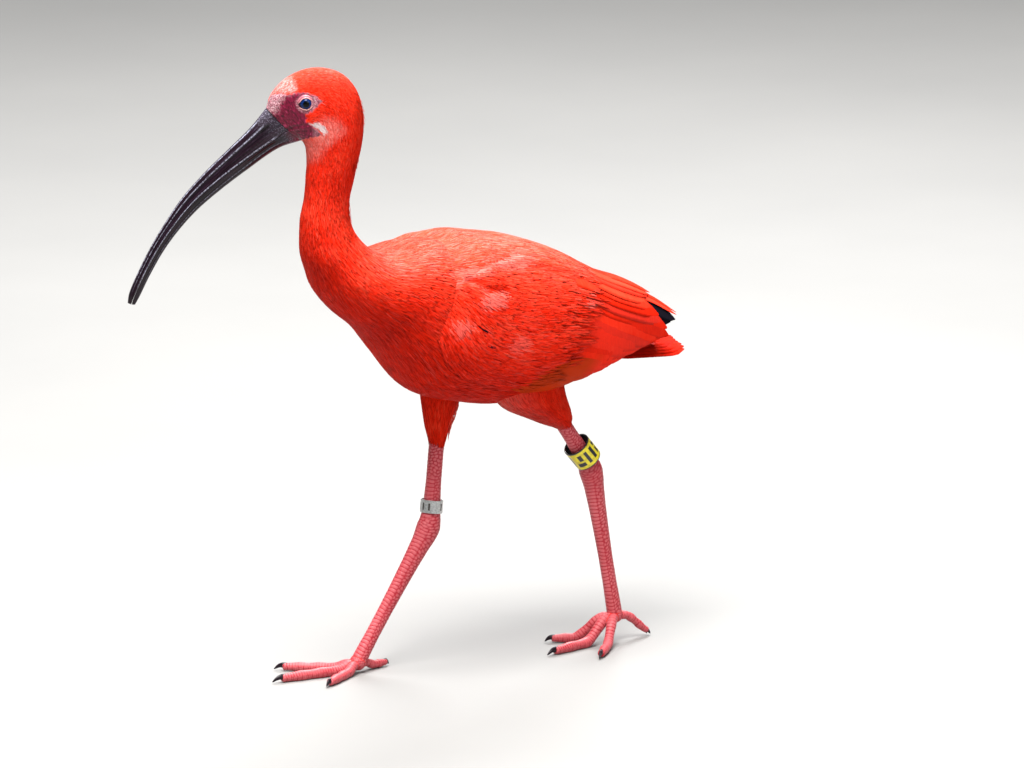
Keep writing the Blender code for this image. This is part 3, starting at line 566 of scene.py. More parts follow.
def makeFeatherMaterial(name):
    # thin locks with hair-fine lines, or broad feathers with barbs
    look = featherLooks[name]
    material, tree, shader = newMaterial(name)
    drift = useGroup(tree, toneDrift, Broad=look["drift"][0], Fine=look["drift"][1])
    lines = useGroup(tree, look["group"], **look["sizes"])
    parts = (readValue(tree, "tone"), drift["Tone"], lines[look["tone"]], readValue(tree, "along"))
    # painted glints: the share of along lightens each feather towards its tip
    tone = doMath(tree, "SUBTRACT", addShares(tree, *zip(parts, look["shares"])), look["darker"])
    setSockets(tree, shader, {
        "Base Color": plumageColour(tree, tone), "Roughness": look["roughness"], "Specular IOR Level": 0.02,
        "Sheen Weight": 0.01, "Sheen Roughness": 0.4, "Sheen Tint": (1.0, 0.42, 0.34),
    })
    facing = useGroup(tree, layFacing, Share=look["lay"])
    addBump(tree, shader, look["bump"], 0.0003, lines[look["height"]], Normal=facing["Normal"])
    return material


skinLook = {
    "legPale": (0.62, 0.135, 0.15), "legRed": (0.38, 0.014, 0.026), "faceDeep": (0.045, 0.001, 0.008),
    "faceMid": (0.15, 0.002, 0.024), "faceSheen": (0.44, 0.05, 0.13), "facePale": (0.72, 0.42, 0.46),
}


def makeSkinMaterial():
    # one skin: red under the feathers, crimson on the bare face, scaly pink on the legs
    material, tree, shader = newMaterial("birdSkin")
    look = skinLook
    drift = useGroup(tree, toneDrift, Broad=30.0, Fine=500.0)["Tone"]
    crinkle = useGroup(tree, skinCrinkle, Size=620.0, Sharpness=0.8)
    keys = ("bare", "pale", "crease", "leg", "scale")
    bare, pale, crease, onLeg, scale = (readValue(tree, key) for key in keys)
    under = plumageColour(tree, doMath(tree, "ADD", doMath(tree, "MULTIPLY", drift, 0.3), 0.45))
    under = mixColour(tree, doMath(tree, "MULTIPLY", pale, 0.8), under, look["facePale"])
    # painted shade: the bare face is darker in the wrinkles' sunk creases, with a painted sheen (faceSheen)
    # on the raised skin between them
    naked = mixColour(tree, rangeOf(tree, crease, 0.35, 0.75), look["faceMid"], look["faceDeep"])
    naked = mixColour(tree, rangeOf(tree, crease, 0.28, 0.1, 0.0, 0.5), naked, look["faceSheen"])
    speck = rangeOf(tree, addNoise(tree, objectPlace(tree), 1500.0, 3.0)["Fac"], 0.42, 0.62, 0.1, 0.85)
    naked = mixColour(tree, doMath(tree, "MULTIPLY", pale, speck), naked, look["facePale"])
    # painted shade: the leg scales are pale on their raised domes and deeper red in the grooves between them
    scaly = mixColour(tree, rangeOf(tree, scale, 0.3, 0.8), look["legRed"], look["legPale"])
    scaly = mixColour(tree, doMath(tree, "MULTIPLY", drift, 0.55), scaly, look["legRed"])
    setSockets(tree, shader, {
        "Base Color": mixColour(tree, onLeg, mixColour(tree, bare, under, naked), scaly),
        "Roughness": rangeOf(tree, doMath(tree, "MAXIMUM", bare, onLeg), 0.0, 1.0, 0.75, 0.45),
        "Specular IOR Level": 0.3, "Subsurface Weight": 0.06, "Subsurface Radius": (0.002, 0.0006, 0.0004),
        "Subsurface Scale": 1.0,
    })
    addBump(tree, shader, 0.45, 0.0004, crinkle["Height"])
    return material


coatMaterial = makeFeatherMaterial("coatLocks")
vaneMaterial = makeFeatherMaterial("vaneFeather")
skinMaterial = makeSkinMaterial()
print("plumage and skin materials made")


# markings of the face, in the head's plane (x, z)
face = {
    # the face's marks lie on the sides of the head, the eye's ring keeps free of feathers
    "lift": 0.2, "side": 5.0, "turned": 0.9, "eyeReach": 6.4,
    "bare": (
        (-183.0, 372.0), (-181.0, 379.0), (-178.0, 384.6), (-173.5, 385.6), (-168.0, 385.0),
        (-163.0, 386.2), (-156.0, 386.6), (-150.5, 384.8), (-145.6, 381.0), (-149.4, 377.0),
        (-153.0, 373.8), (-156.4, 372.0), (-155.4, 370.0), (-156.2, 367.6), (-153.6, 366.2),
        (-145.8, 359.9), (-148.3, 358.1), (-158.5, 356.1), (-162.0, 350.0), (-176.0, 348.0),
    ),
    "paleForehead": (
        (-184.0, 373.0), (-181.5, 382.5), (-177.5, 389.0), (-172.0, 394.5), (-166.5, 395.0), (-164.5, 391.0),
        (-163.5, 387.0), (-169.5, 384.5), (-173.0, 379.0), (-174.5, 374.0), (-179.0, 373.0),
    ),
    "wedge": (
        (-155.0, 366.4), (-151.1, 367.6), (-147.2, 366.8), (-144.0, 364.6), (-143.6, 361.9),
        (-145.8, 361.2), (-149.6, 363.6),
    ),
    "paleCheek": (
        (-150.0, 366.8), (-144.3, 370.3), (-136.9, 369.2), (-132.4, 364.5), (-135.7, 360.5),
        (-141.5, 356.8), (-145.5, 360.5),
    ),
    "gape": ((-181.0, 357.0), (-167.5, 362.6), (-164.1, 364.3), (-159.6, 365.0), (-154.4, 365.6)),
    "paleThroat": ((-160.0, 356.5), (-147.2, 359.2), (-143.0, 357.0), (-149.0, 348.0), (-157.0, 345.0)),
}


def faceValues(t, angle):
    # masks at places of the body: bare skin, pale skin, white wedge, pink cheek
    x, y, z, turn = bodyFlat(t, angle)
    bare, pale, white, blush = np.zeros((4, len(t)))
    near = np.flatnonzero(turn > face["turned"])
    # the outlines were drawn flat, a point nearer to the camera stands lower in the picture
    fx, fz = x[near], z[near] - face["lift"] * np.abs(y[near])
    ragged = 0.5 * np.sin(fx * 2.1) + 0.4 * np.sin(fz * 2.7 + 1.0)

    def within(key, rough, low, high):
        return between(insideOutline(fx, fz, face[key]) + ragged * rough, low, high)

    bare[near] = within("bare", 0.5, -0.5, 0.4)
    pale[near] = within("paleForehead", 1.0, -2.5, 2.0)
    white[near] = within("wedge", 0.6, -0.7, 0.5)
    blush[near] = 0.65 * within("paleCheek", 1.0, -5.0, 3.5) + 0.6 * within("paleThroat", 1.0, -6.0, 3.0)
    # a mauve ring round the eye, drawn out behind it
    fromEye = np.hypot(fx - eyeX, (z[near] - eyeZ) * 1.15)
    mauve = 0.4 * (1 - between(fromEye, 6.4, 7.4)) + 0.35 * between(fx, eyeX + 3.0, eyeX + 5.5)
    pale[near] += bare[near] * (np.abs(y[near]) > face["side"]) * mauve
    return bare, pale, white, blush


def coatDepth(t):
    # how deep the skin lies under the outer surface of the feathers
    return np.interp(t, [0.0, 12.0, 45.0, 75.0, 120.0, 170.0, 400.0], [0.2, 0.32, 0.38, 0.42, 0.46, 0.5, 0.5])


# the skin of head, neck and body

skin = {
    "headStep": 0.42, "bodyStep": 2.3, "around": 160, "sampleSteps": (0.5, 0.03),
    # rims and grooves of the face: height, distance from the middle, half width
    "eyeRims": ((0.55, 6.0, 0.8), (-0.5, 4.9, 0.7)), "gapeFolds": ((-0.6, 0.0, 0.5), (0.3, 1.4, 0.7)),
    # the wrinkles run down the lores, and back along the pouch below the gape
    "loresWay": -58.0, "pouchWay": -12.0, "wrinkleLength": 2.6, "wrinkleWidth": 0.85,
}


def skinValues(count, **known):
    # all values that the skin's material reads, zero where nothing is known
    keys = ("bare", "pale", "white", "blush", "leg", "scale", "crease", "dull", "dark")
    return {key: known.get(key, np.zeros(count)) for key in keys}


def makeBodySkin():
    headEnd = bodyTime["throat"]
    bodyEnd = bodyTimes[-1] - 1.0
    times = np.concatenate([
        np.arange(0.0, headEnd, skin["headStep"]), np.arange(headEnd, bodyEnd, skin["bodyStep"]), [bodyEnd],
    ])
    angles = roundTurns(skin["around"])
    t, angle = (m.ravel() for m in np.meshgrid(times, angles, indexing="ij"))
    bare, pale, white, blush = faceValues(t, angle)
    x, y, z, turn = bodyFlat(t, angle, -coatDepth(t) * (1.0 - bare))
    points = turned(x, y, z, turn)
    _, _, out = surfaceFrame(bodyPoint, t, angle, *skin["sampleSteps"])
    onSide = np.abs(y) > face["side"]
    fz = z - face["lift"] * np.abs(y)
    fromEye = np.hypot(x - eyeX, z - eyeZ)
    fold = polylineAway(x, fz, face["gape"])
    raised = sum(np.where(onSide, hump(fromEye, *rim), 0.0) for rim in skin["eyeRims"])
    for line in skin["gapeFolds"]:
        raised += np.where(onSide, hump(fold, *line), 0.0) * bare
    some = np.flatnonzero(bare > 0.02)
    crumple = np.zeros(len(t))
    crease = np.full(len(t), 0.4)
    gapeX, gapeZ = np.array(face["gape"]).T
    below = between(np.interp(x, gapeX, gapeZ) - fz, -0.6, 0.8)[some]
    way = np.radians(skin["loresWay"]) * (1 - below) + np.radians(skin["pouchWay"]) * below
    alongWay = x[some] * np.cos(way) + fz[some] * np.sin(way)
    acrossWay = fz[some] * np.cos(way) - x[some] * np.sin(way)
    layout = np.stack([
        alongWay / skin["wrinkleLength"], acrossWay / skin["wrinkleWidth"], np.sign(y[some]) * 3.0,
    ], -1)
    wobble = [noiseAt(points[some], 1.6, 7.0), noiseAt(points[some], 1.6, 8.0), 0 * alongWay]
    layout += 0.55 * np.stack(wobble, -1)
    lines = 0.75 * noiseAt(layout, 1.0) + 0.55 * noiseAt(layout, 0.45, 4.0)
    lines += 0.35 * noiseAt(points[some], 0.7, 9.0)
    crease[some] = np.clip(0.45 + 0.75 * lines, 0, 1)
    crumple[some] = noiseAt(points[some], 1.8) * 0.2 - 0.32 * (crease[some] - 0.4)
    points = points + out * (raised + crumple * bare)[:, None]
    known = {"bare": bare, "pale": pale, "white": white, "blush": blush, "crease": crease}
    values = skinValues(len(points) + 2, **{key: sameEnds(value) for key, value in known.items()})
    return closedMesh("bodySkin", points.reshape(len(times), -1, 3), values)


def tubeGrid(path, wide, deep, around, endWays=(None, None)):
    # rings round a path, with the ways across each; deep lies fore and aft on a leg
    ahead = unit(np.gradient(path, axis=0))
    if endWays[0] is not None:
        ahead[0] = endWays[0]
    if endWays[1] is not None:
        ahead[-1] = endWays[1]
    steep = np.abs(ahead[:, 2:3]) > 0.7
    side = unit(np.cross(ahead, np.where(steep, (1.0, 0.0, 0.0), (0.0, 0.0, 1.0))))
    up = unit(np.cross(side, ahead))
    angle = 2 * math.pi * (np.arange(around) + 0.5) / around
    way = side[:, None] * np.cos(angle)[None, :, None] * wide[:, None, None] \
        + up[:, None] * np.sin(angle)[None, :, None] * deep[:, None, None]
    return path[:, None] + way, unit(way), angle


def resample(points, step):
    # a smooth path through points, with even steps
    points = np.asarray(points, float)
    times = runningLength(points)
    count = max(2, int(round(times[-1] / step)) + 1)
    fine = np.linspace(0.0, times[-1], count)
    return rowsAt(points, times, fine)


leg = {
    # joints: top of the bare shank, heel, joint of the toes
    "left": ((31.0, -20.0, 149.0), (54.2, -17.5, 118.0), (75.0, -16.0, 17.0)),
    "right": ((-43.4, 18.0, 139.5), (-50.0, 16.0, 88.0), (-108.0, 16.0, 6.4)),
    # distance below the heel, half width, half depth
    "profile": (
        (-90, 4.8, 4.9), (-45, 4.75, 4.85), (-28, 4.75, 4.9), (-15, 5.3, 5.5), (-8, 5.6, 6.2), (-3, 6.3, 7.1),
        (1, 7.0, 7.9), (6, 6.7, 7.5), (13, 5.7, 6.6), (26, 4.9, 5.8), (42, 4.3, 5.2), (62, 3.85, 4.7),
        (80, 3.9, 4.6), (92, 4.5, 4.8), (100, 4.8, 4.8),
    ),
    "step": 0.5, "around": 48, "scaleRow": 2.2, "scalesAround": 11, "relief": 0.3, "bandRow": 2.5,
    "bandsFrom": (-34.0, -30.0), "bandSharpness": 16.0, "bandMiddle": 4.62, "bandArc": 2.5,
    "reliefPower": 0.7,
    # how far the shank reaches into the thigh, how far the bone ends before the toes
    "shankInside": 14.0, "boneShort": 1.0, "smoothings": 6,
}
toes = {
    # outward angle from straight ahead, length with the claw, radius at the root
    "front": (("inner", -34.0, 46.0, 3.3), ("middle", 2.0, 62.0, 3.6), ("outer", 36.0, 54.0, 3.3)),
    "hind": ("hind", 168.0, 27.0, 2.9),
    "out": 6.0, "height": 2.7, "ball": 6.0, "start": 13.0, "webReach": 12.5, "clawShare": 0.85,
    "profile": ((0.0, 1.0), (0.14, 0.88), (0.28, 1.0), (0.43, 0.82), (0.58, 0.95), (0.72, 0.76), (0.85, 0.7)),
    "step": 0.62, "around": 22, "scaleRow": 1.5, "scalesAround": 11, "relief": 0.17, "bandRow": 1.9,
}


def scaleDome(u, v, ends=3.5):
    # rounded scales in staggered rows: 1 in the middle of a scale, 0 in the grooves
    row = np.floor(v)
    if ends < 6:
        u = u + 0.5 * (row % 2) + 0.12 * np.sin(row * 2.3)
    du = np.abs(u - np.floor(u) - 0.5) * 2
    dv = np.abs(v - row - 0.5) * 2
    return np.clip((1 - du ** ends) * (1 - dv ** 3), 0.0, 1.0)


def makeLegSkin(label):
    top, heel, toeJoint = (np.array(p) for p in leg[label])
    shankWay = unit(heel - top)
    boneWay = unit(toeJoint - heel)
    shank = np.linalg.norm(heel - top) + leg["shankInside"]
    bone = np.linalg.norm(toeJoint - heel) - leg["boneShort"]
    path = [heel - shankWay * d for d in (shank, shank * 0.75, shank * 0.5, 16.0, 9.0)]
    path += [heel - shankWay * 3.4 + boneWay * 1.2, heel - shankWay * 1.2 + boneWay * 3.4]
    path += [heel + boneWay * d for d in (9.0, 16.0, bone * 0.5, bone * 0.8, bone)]
    line = resample(path, leg["step"])
    nearHeel = np.argmin(np.linalg.norm(line - heel, axis=1))
    below = (np.arange(len(line)) - nearHeel) * leg["step"]
    profile = np.array(leg["profile"], float)
    wide, deep = (np.interp(below, profile[:, 0], sizes) for sizes in profile.T[1:])
    for size in (wide, deep):
        for _ in range(leg["smoothings"]):
            size[1:-1] = (size[:-2] + size[1:-1] * 2 + size[2:]) / 4
    rings, ways, angle = tubeGrid(line, wide, deep, leg["around"])
    along = np.repeat(below[:, None], leg["around"], 1)
    turn = np.repeat(angle[None], len(line), 0)
    wave = 0.35 * np.sin(turn * 3 + along * 0.21) + 0.25 * np.sin(turn * 2 - along * 0.13)
    column = turn / (2 * math.pi) * leg["scalesAround"] + along * 0.05
    small = scaleDome(column, along / leg["scaleRow"] + wave)
    column = (turn - leg["bandMiddle"]) / leg["bandArc"] + 0.5
    band = scaleDome(column, along / leg["bandRow"] + 0.3 * wave, leg["bandSharpness"])
    # broad bands lie on the front, from a little above the heel down
    front = between(np.cos(turn + math.pi / 2 + 0.1), 0.28, 0.34) * between(along, *leg["bandsFrom"])
    front *= 1.0 - hump(along, 0.8, 0.0, 7.0)
    dome = small * (1 - front) + band * front
    relief = leg["relief"] * (dome ** leg["reliefPower"] - 0.4)
    return legMesh("legSkin", rings + ways * relief[..., None], zeroEnds(dome))


def toeHeading(label, outward):
    side = -1 if label == "left" else 1
    return math.pi - side * math.radians(outward + toes["out"])


def toeLine(toeJoint, heading, distances):
    # the middle of a toe: it sinks to the floor ahead of the foot's joint
    distances = np.asarray(distances, float)
    startZ = toeJoint[2] - 1.0
    dropLength = max(0.0, toeJoint[2] - toes["height"]) * 1.25 + 4.0
    fall = smooth((distances - toes["ball"]) / dropLength)
    z = startZ + (toes["height"] - startZ) * fall
    return np.stack([
        toeJoint[0] + math.cos(heading) * distances, toeJoint[1] + math.sin(heading) * distances, z,
    ], -1)


def legMesh(name, rings, scale):
    return closedMesh(name, rings, skinValues(len(scale), leg=np.ones(len(scale)), scale=scale))


def makeToeSkin(label, toe, toeJoint):
    _, outward, length, radius = toe
    start = toes["ball"] if toe == toes["hind"] else toes["start"]
    reach = start + (length - start) * toes["clawShare"]
    distances = np.arange(1.0, reach + 0.8, toes["step"])
    line = toeLine(toeJoint, toeHeading(label, outward), distances)
    share = np.clip((distances - start) / (length - start), 0.0, 1.0)
    profile = np.array(toes["profile"])
    size = radius * np.interp(share, profile[:, 0], profile[:, 1])
    size = np.where(distances < start, radius * (0.82 + 0.18 * distances / start), size)
    size[-1] *= 0.82
    rings, ways, angle = tubeGrid(line, size, size, toes["around"])
    along = np.repeat(distances[:, None], toes["around"], 1)
    turn = np.repeat(angle[None], len(line), 0)
    upper = between(ways[..., 2], 0.05, 0.4)
    band = scaleDome((turn - math.pi / 2) / 2.6 + 0.5, along / toes["bandRow"], leg["bandSharpness"])
    small = scaleDome(turn / (2 * math.pi) * toes["scalesAround"], along / toes["scaleRow"])
    dome = band * upper + small * (1 - upper)
    relief = toes["relief"] * dome ** leg["reliefPower"] - 0.1
    return legMesh("toeSkin", rings + ways * relief[..., None], zeroEnds(dome))


def makeWebSkin(label, toeJoint, outwardA, outwardB):
    # a thin skin between the roots of two toes, with a hollowed front edge
    distances = np.linspace(2.0, toes["webReach"] + 2.0, 10)
    a, b = (toeLine(toeJoint, toeHeading(label, outward), distances) for outward in (outwardA, outwardB))
    share = np.linspace(0.0, 1.0, 9)
    flat = a[:, None] + (b - a)[:, None] * share[None, :, None]
    hollow = 1.0 - 0.45 * np.sin(math.pi * share)
    sheet = toeJoint + (flat - toeJoint) * hollow[None, :, None]
    sheet[..., 2] = flat[..., 2]
    thick = np.array((0.0, 0.0, 0.55))
    ring = np.concatenate([sheet + thick, (sheet - thick)[:, ::-1]], 1)
    return legMesh("webSkin", ring, sameEnds(np.full(ring.shape[:2], 0.4)))


def makeBallSkin(toeJoint):
    turns = np.linspace(0, math.pi, 26)[1:-1]
    angle = roundTurns(40)
    radius = toes["ball"] - 0.8
    way = np.stack([
        np.sin(turns)[:, None] * np.cos(angle), np.sin(turns)[:, None] * np.sin(angle),
        np.cos(turns)[:, None] + 0 * angle,
    ], -1)
    column, row = np.broadcast_arrays(angle / (2 * math.pi) * 17, turns[:, None] * radius / 1.6)
    dome = scaleDome(column, row)
    return legMesh("ballSkin", np.array(toeJoint) + way * (radius + 0.15 * dome)[..., None], zeroEnds(dome))


thighRows = {
    # front (x, z), rear (x, z), y of the middle, half width
    "right": np.array((
        (-62.8, 212.0, -12.0, 208.0, 17.0, 13.5), (-57.6, 190.0, -18.0, 182.0, 18.5, 12.3),
        (-53.0, 172.5, -27.8, 163.5, 19.5, 10.2), (-50.6, 156.0, -34.8, 149.5, 19.0, 8.0),
        (-49.2, 144.0, -37.4, 139.5, 18.2, 6.3),
    )),
    "left": np.array((
        (-30.0, 200.0, 28.0, 212.0, -17.0, 13.5), (-27.0, 182.0, 28.8, 188.0, -18.0, 13.0),
        (-18.0, 168.0, 30.4, 172.0, -19.5, 11.6), (3.0, 157.5, 33.4, 162.0, -20.5, 9.2),
        (19.5, 150.0, 35.4, 155.5, -20.2, 7.1), (26.0, 146.8, 35.6, 152.0, -20.0, 5.8),
    )),
}


def thighSurface(label):
    table = thighRows[label]
    times = middleLengths(table)

    def place(t, angle, grow=0.0):
        row = rowsAt(table, times, t)
        section = np.concatenate([row[:, :4], row[:, 5:6]], 1)
        # the angle runs the other way here, so that the way out comes the same as on the body
        x, y, z = sectionFlat(section, -angle, 1.0, grow)
        return np.stack([x, y + row[:, 4], z], -1)
    return place, times[-1]


def makeThighSkin(label):
    place, length = thighSurface(label)
    times = np.linspace(0.0, length - 0.3, 34)
    angles = roundTurns(48)
    t, angle = (m.ravel() for m in np.meshgrid(times, angles, indexing="ij"))
    depth = np.interp(t, [0.0, length * 0.7, length], [1.2, 1.3, 2.3])
    points = len(t) + 2
    return closedMesh("thighSkin", place(t, angle, -depth).reshape(len(times), -1, 3), skinValues(points))


def joinMeshes(name, meshes):
    # one closed skin from overlapping closed bodies
    items = [linkObject("skinPart", mesh) for mesh in meshes]
    group = bpy.data.collections.new("skinTools")
    bpy.context.scene.collection.children.link(group)
    for item in items[1:]:
        bpy.context.scene.collection.objects.unlink(item)
        group.objects.link(item)
    step = items[0].modifiers.new("join", "BOOLEAN")
    step.operation = "UNION"
    step.operand_type = "COLLECTION"
    step.collection = group
    step.solver = "MANIFOLD"
    graph = bpy.context.evaluated_depsgraph_get()
    joined = bpy.data.meshes.new_from_object(items[0].evaluated_get(graph))
    joined.name = name
    for item in items:
        bpy.data.objects.remove(item)
    bpy.data.collections.remove(group)
    return joined


def makeSkin():
    meshes = [makeBodySkin()]
    for label in ("left", "right"):
        toeJoint = np.array(leg[label][2])
        meshes += [makeThighSkin(label), makeLegSkin(label), makeBallSkin(toeJoint)]
        meshes += [makeToeSkin(label, toe, toeJoint) for toe in (*toes["front"], toes["hind"])]
        meshes += [makeWebSkin(label, toeJoint, a[1], b[1]) for a, b in zip(toes["front"], toes["front"][1:])]
    mesh = joinMeshes("birdSkin", meshes)
    places = np.empty(len(mesh.vertices) * 3, np.float32)
    mesh.vertices.foreach_get("co", places)
    places = places.reshape(-1, 3)
    places[:, 2] = np.maximum(places[:, 2], birdShift[2])  # the soles are flat on the floor
    mesh.vertices.foreach_set("co", places.ravel())
    mesh.materials.clear()
    mesh.shade_smooth()
    mesh.update()
    bareParts = ("foot_", "toe_", "tarsus_", "shank_", "thigh_")
    feet = [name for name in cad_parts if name.startswith(bareParts)]
    return addPiece("skin", mesh, skinMaterial, "leg_skin", ["torso", "neck", "head", *feet])


makeSkin()


# pale and dark spots of the left side, some from wear: x, z, half widths, strength. The two long thin pale
# streaks near the top of the back and the shoulder, at z 268 and 266, are painted highlight.
sideMarks = {
    "blush": (
        (-51.0, 249.0, 9.0, 6.0, 0.42), (-73.0, 234.0, 7.0, 5.0, 0.3), (-32.0, 217.0, 9.0, 7.0, 0.2),
        # the last two marks of this row are painted highlight streaks
        (33.0, 235.5, 4.2, 4.2, 0.35), (-27.0, 268.0, 16.0, 4.0, 0.3), (-64.0, 266.0, 15.0, 3.0, 0.25),
    ),
    "dark": ((-59.2, 231.0, 1.9, 1.7, 1.0), (-53.8, 219.4, 1.9, 1.7, 1.0)),
}


def markValues(points, kind, ragged=0.0):
    x, y, z = points.T
    total = np.zeros(len(points))
    for markX, markZ, wide, high, strength in sideMarks[kind]:
        away = np.hypot((x - markX) / wide, (z - markZ) / high)
        total += strength * (1 - between(away + ragged, 0.75, 1.15)) * (y < -8.0)
    return total


# locks of feather barbs, laid along the surface they grow from

lockFaces = np.array((
    (0, 2, 1),
    (0, 1, 4), (0, 4, 3), (1, 2, 5), (1, 5, 4), (2, 0, 3), (2, 3, 5),
    (3, 4, 7), (3, 7, 6), (4, 5, 8), (4, 8, 7), (5, 3, 6), (5, 6, 8),
    (6, 7, 9), (7, 8, 9), (8, 6, 9),
))
# the steps along a lock, how many points it has at each, how wide it is at the first three and how far
# it has risen from its root to its full height
lockSteps = np.array((0.0, 0.36, 0.72, 1.0))
lockPoints = (3, 3, 3, 1)
lockShape = np.array((0.62, 1.0, 0.74))
lockRise = np.array((0.0, 0.78, 0.98, 1.0))
# the size of one lock or feather on the bake map
bakePatch = 0.003


def scatter(place, tRange, angleRange, density, dice, sampleSteps, cells=(220, 160)):
    # places spread evenly over a surface, density gives how many for each square millimetre
    tEdges = np.linspace(*tRange, cells[0] + 1)
    angleEdges = np.linspace(*angleRange, cells[1] + 1)
    tMid = (tEdges[:-1] + tEdges[1:]) / 2
    angleMid = (angleEdges[:-1] + angleEdges[1:]) / 2
    t, angle = (m.ravel() for m in np.meshgrid(tMid, angleMid, indexing="ij"))
    alongT, alongAngle, _ = surfaceFrame(place, t, angle, *sampleSteps)
    area = np.linalg.norm(np.cross(alongT, alongAngle), axis=1)
    dT = tEdges[1] - tEdges[0]
    dAngle = angleEdges[1] - angleEdges[0]
    weight = area * dT * dAngle * density(t, angle)
    total = weight.sum()
    count = int(total)
    running = np.cumsum(weight)
    picks = (np.arange(count) + dice.random(count)) * total / count
    cell = np.minimum(np.searchsorted(running, picks), len(t) - 1)
    t = t[cell] + (dice.random(count) - 0.5) * dT
    angle = angle[cell] + (dice.random(count) - 0.5) * dAngle
    return t, angle


def walk(place, t, angle, length, swing, sampleSteps):
    # places on the surface at each step of a way along its lie, and the way out there
    places, outs = [], []
    tNow, angleNow = t, angle
    done = 0.0
    for share in lockSteps:
        alongT, alongAngle, out = surfaceFrame(place, tNow, angleNow, *sampleSteps)
        if share > done:
            go = length * (share - done)
            tNow = tNow + np.cos(swing) * go / np.maximum(np.linalg.norm(alongT, axis=1), 0.12)
            angleNow = angleNow + np.sin(swing) * go / np.maximum(np.linalg.norm(alongAngle, axis=1), 0.02)
            _, _, out = surfaceFrame(place, tNow, angleNow, *sampleSteps)
            done = share
        places.append(place(tNow, angleNow))
        outs.append(out)
    return np.stack(places, 1), np.stack(outs, 1)


def lockHeights(depth, lift):
    # heights over the surface at a lock's steps, its root lies that deep and its end is lifted
    depth = np.broadcast_to(depth, lift.shape)[:, None]
    return (depth + lift[:, None]) * lockRise - depth


def patchNoise(root, scales, seed):
    # broad and fine patches in which the locks lean, lift and shade together
    return noiseAt(root, scales[0], seed), noiseAt(root, scales[1], seed + 2)


def lockTone(dice, broad, fine):
    return np.clip(0.5 + 0.12 * dice.standard_normal(len(broad)) + 0.12 * broad + 0.08 * fine, 0, 1)


def buildLocks(name, path, outs, width, bakePlaces, values):
    # path and outs (n, 4, 3), width (n,)
    count = len(path)
    side = unit(np.cross(unit(np.gradient(path, axis=1)), outs))[:, :3]
    half = (width[:, None] * lockShape / 2)[..., None]
    middle = path[:, :3]
    sections = [middle - side * half, middle + outs[:, :3] * (half * coat["ridge"]), middle + side * half]
    points = np.concatenate([np.stack(sections, 2).reshape(count, 9, 3), path[:, 3:]], 1)
    each = points.shape[1]
    faces = (lockFaces[None] + (np.arange(count) * each)[:, None, None]).reshape(-1, 3)
    local = np.array([(k % 3 / 2, k // 3 / 3) for k in range(9)] + [(0.5, 1.0)])
    bake = (bakePlaces[:, None] + local[None] * bakePatch).reshape(-1, 2)
    dice = np.random.default_rng(count)
    length = np.linalg.norm(path[:, 3] - path[:, 0], axis=1)
    lieAcross = (local[:, 0] * 2 - 1) * width[:, None] / 2 + dice.uniform(0, 60, count)[:, None]
    lieAlong = local[:, 1] * length[:, None] + dice.uniform(0, 200, count)[:, None]
    lie = np.stack([lieAcross, lieAlong], -1).reshape(-1, 2)
    blush = values["blush"] + markValues(path[:, 1], "blush", dice.uniform(-0.4, 0.4, count))
    # painted highlight: pale streaks on the ends of locks that face upwards
    facingUp = outs[:, 1, 2]
    paintedHighlight = between(facingUp, 0.3, 1.0) * dice.uniform(0.0, 1.1, count) ** 2.4
    nothing = np.zeros(count)
    # painted light and shade: the tone is raised on locks that face up and lowered on locks that face down
    shown = {
        "tone": np.clip(values["tone"] + 0.34 * facingUp + 0.3 * np.minimum(facingUp, 0), 0, 1),
        "blush": np.clip(np.clip(blush, 0, 1) + plumageLook["paintedHighlight"] * paintedHighlight, 0, 1),
        "dull": values.get("dull", nothing), "white": values.get("white", nothing),
        "dark": np.clip(markValues(path[:, 1], "dark"), 0, 1),
    }
    spread = {key: np.repeat(value, each) for key, value in shown.items()}
    spread["along"] = np.tile(np.repeat(lockSteps, lockPoints), count)
    spread["lay"] = np.repeat(outs, lockPoints, axis=1).reshape(-1, 3)
    mesh = makeMesh(name, points.reshape(-1, 3), [faces], spread, {"OFBake": bake, "lie": lie})
    return addPiece(name, mesh, coatMaterial, "plumage")


def bakeMap(t, angle, tRange, angleRange):
    # a place on the unwrap of the surface's own shape, from 0 to 1 each way
    u = (angle - angleRange[0]) / (angleRange[1] - angleRange[0])
    v = (t - tRange[0]) / (tRange[1] - tRange[0])
    return np.stack([np.clip(u, 0, 1), np.clip(v, 0, 1)], -1) * (1 - 2 * bakePatch) + bakePatch / 2


coat = {
    # distance along the body, lock length, lock width, how many layers of locks lie over each place
    "at": (0.0, 20.0, 50.0, 70.0, 100.0, 140.0, 180.0, 240.0, 320.0, 400.0),
    "length": (2.0, 2.9, 4.0, 6.0, 9.0, 12.0, 15.0, 17.0, 18.0, 19.0),
    "width": (0.42, 0.46, 0.52, 0.62, 0.8, 0.95, 1.05, 1.1, 1.15, 1.2),
    "layers": (3.0, 3.3, 4.0, 4.8, 5.4, 5.6, 5.6, 5.6, 5.4, 5.0), "lift": 0.06, "ridge": 0.16, "rooted": 0.85,
    # one lock covers this share of its length times its width, and its sizes vary between two shares
    "cover": 0.75, "vary": (0.75, 1.25), "sampleSteps": (0.5, 0.03), "patches": (16.0, 5.0),
    # ruffled places: distance along the body, angle, reach
    "ruffles": ((44.0, -0.35, 5.0), (66.0, -0.5, 4.0), (92.0, -0.7, 6.0)),
}
wingCover = {
    # where a folded wing covers the body: x, lowest and topmost angle in degrees, first and last x
    "at": (-90, -70, -40, -5, 30, 62, 90), "low": (82, 108, 127, 129, 120, 102, 80),
    "top": (44, 32, 25, 22, 19, 22, 26), "ends": (-61, 96),
}


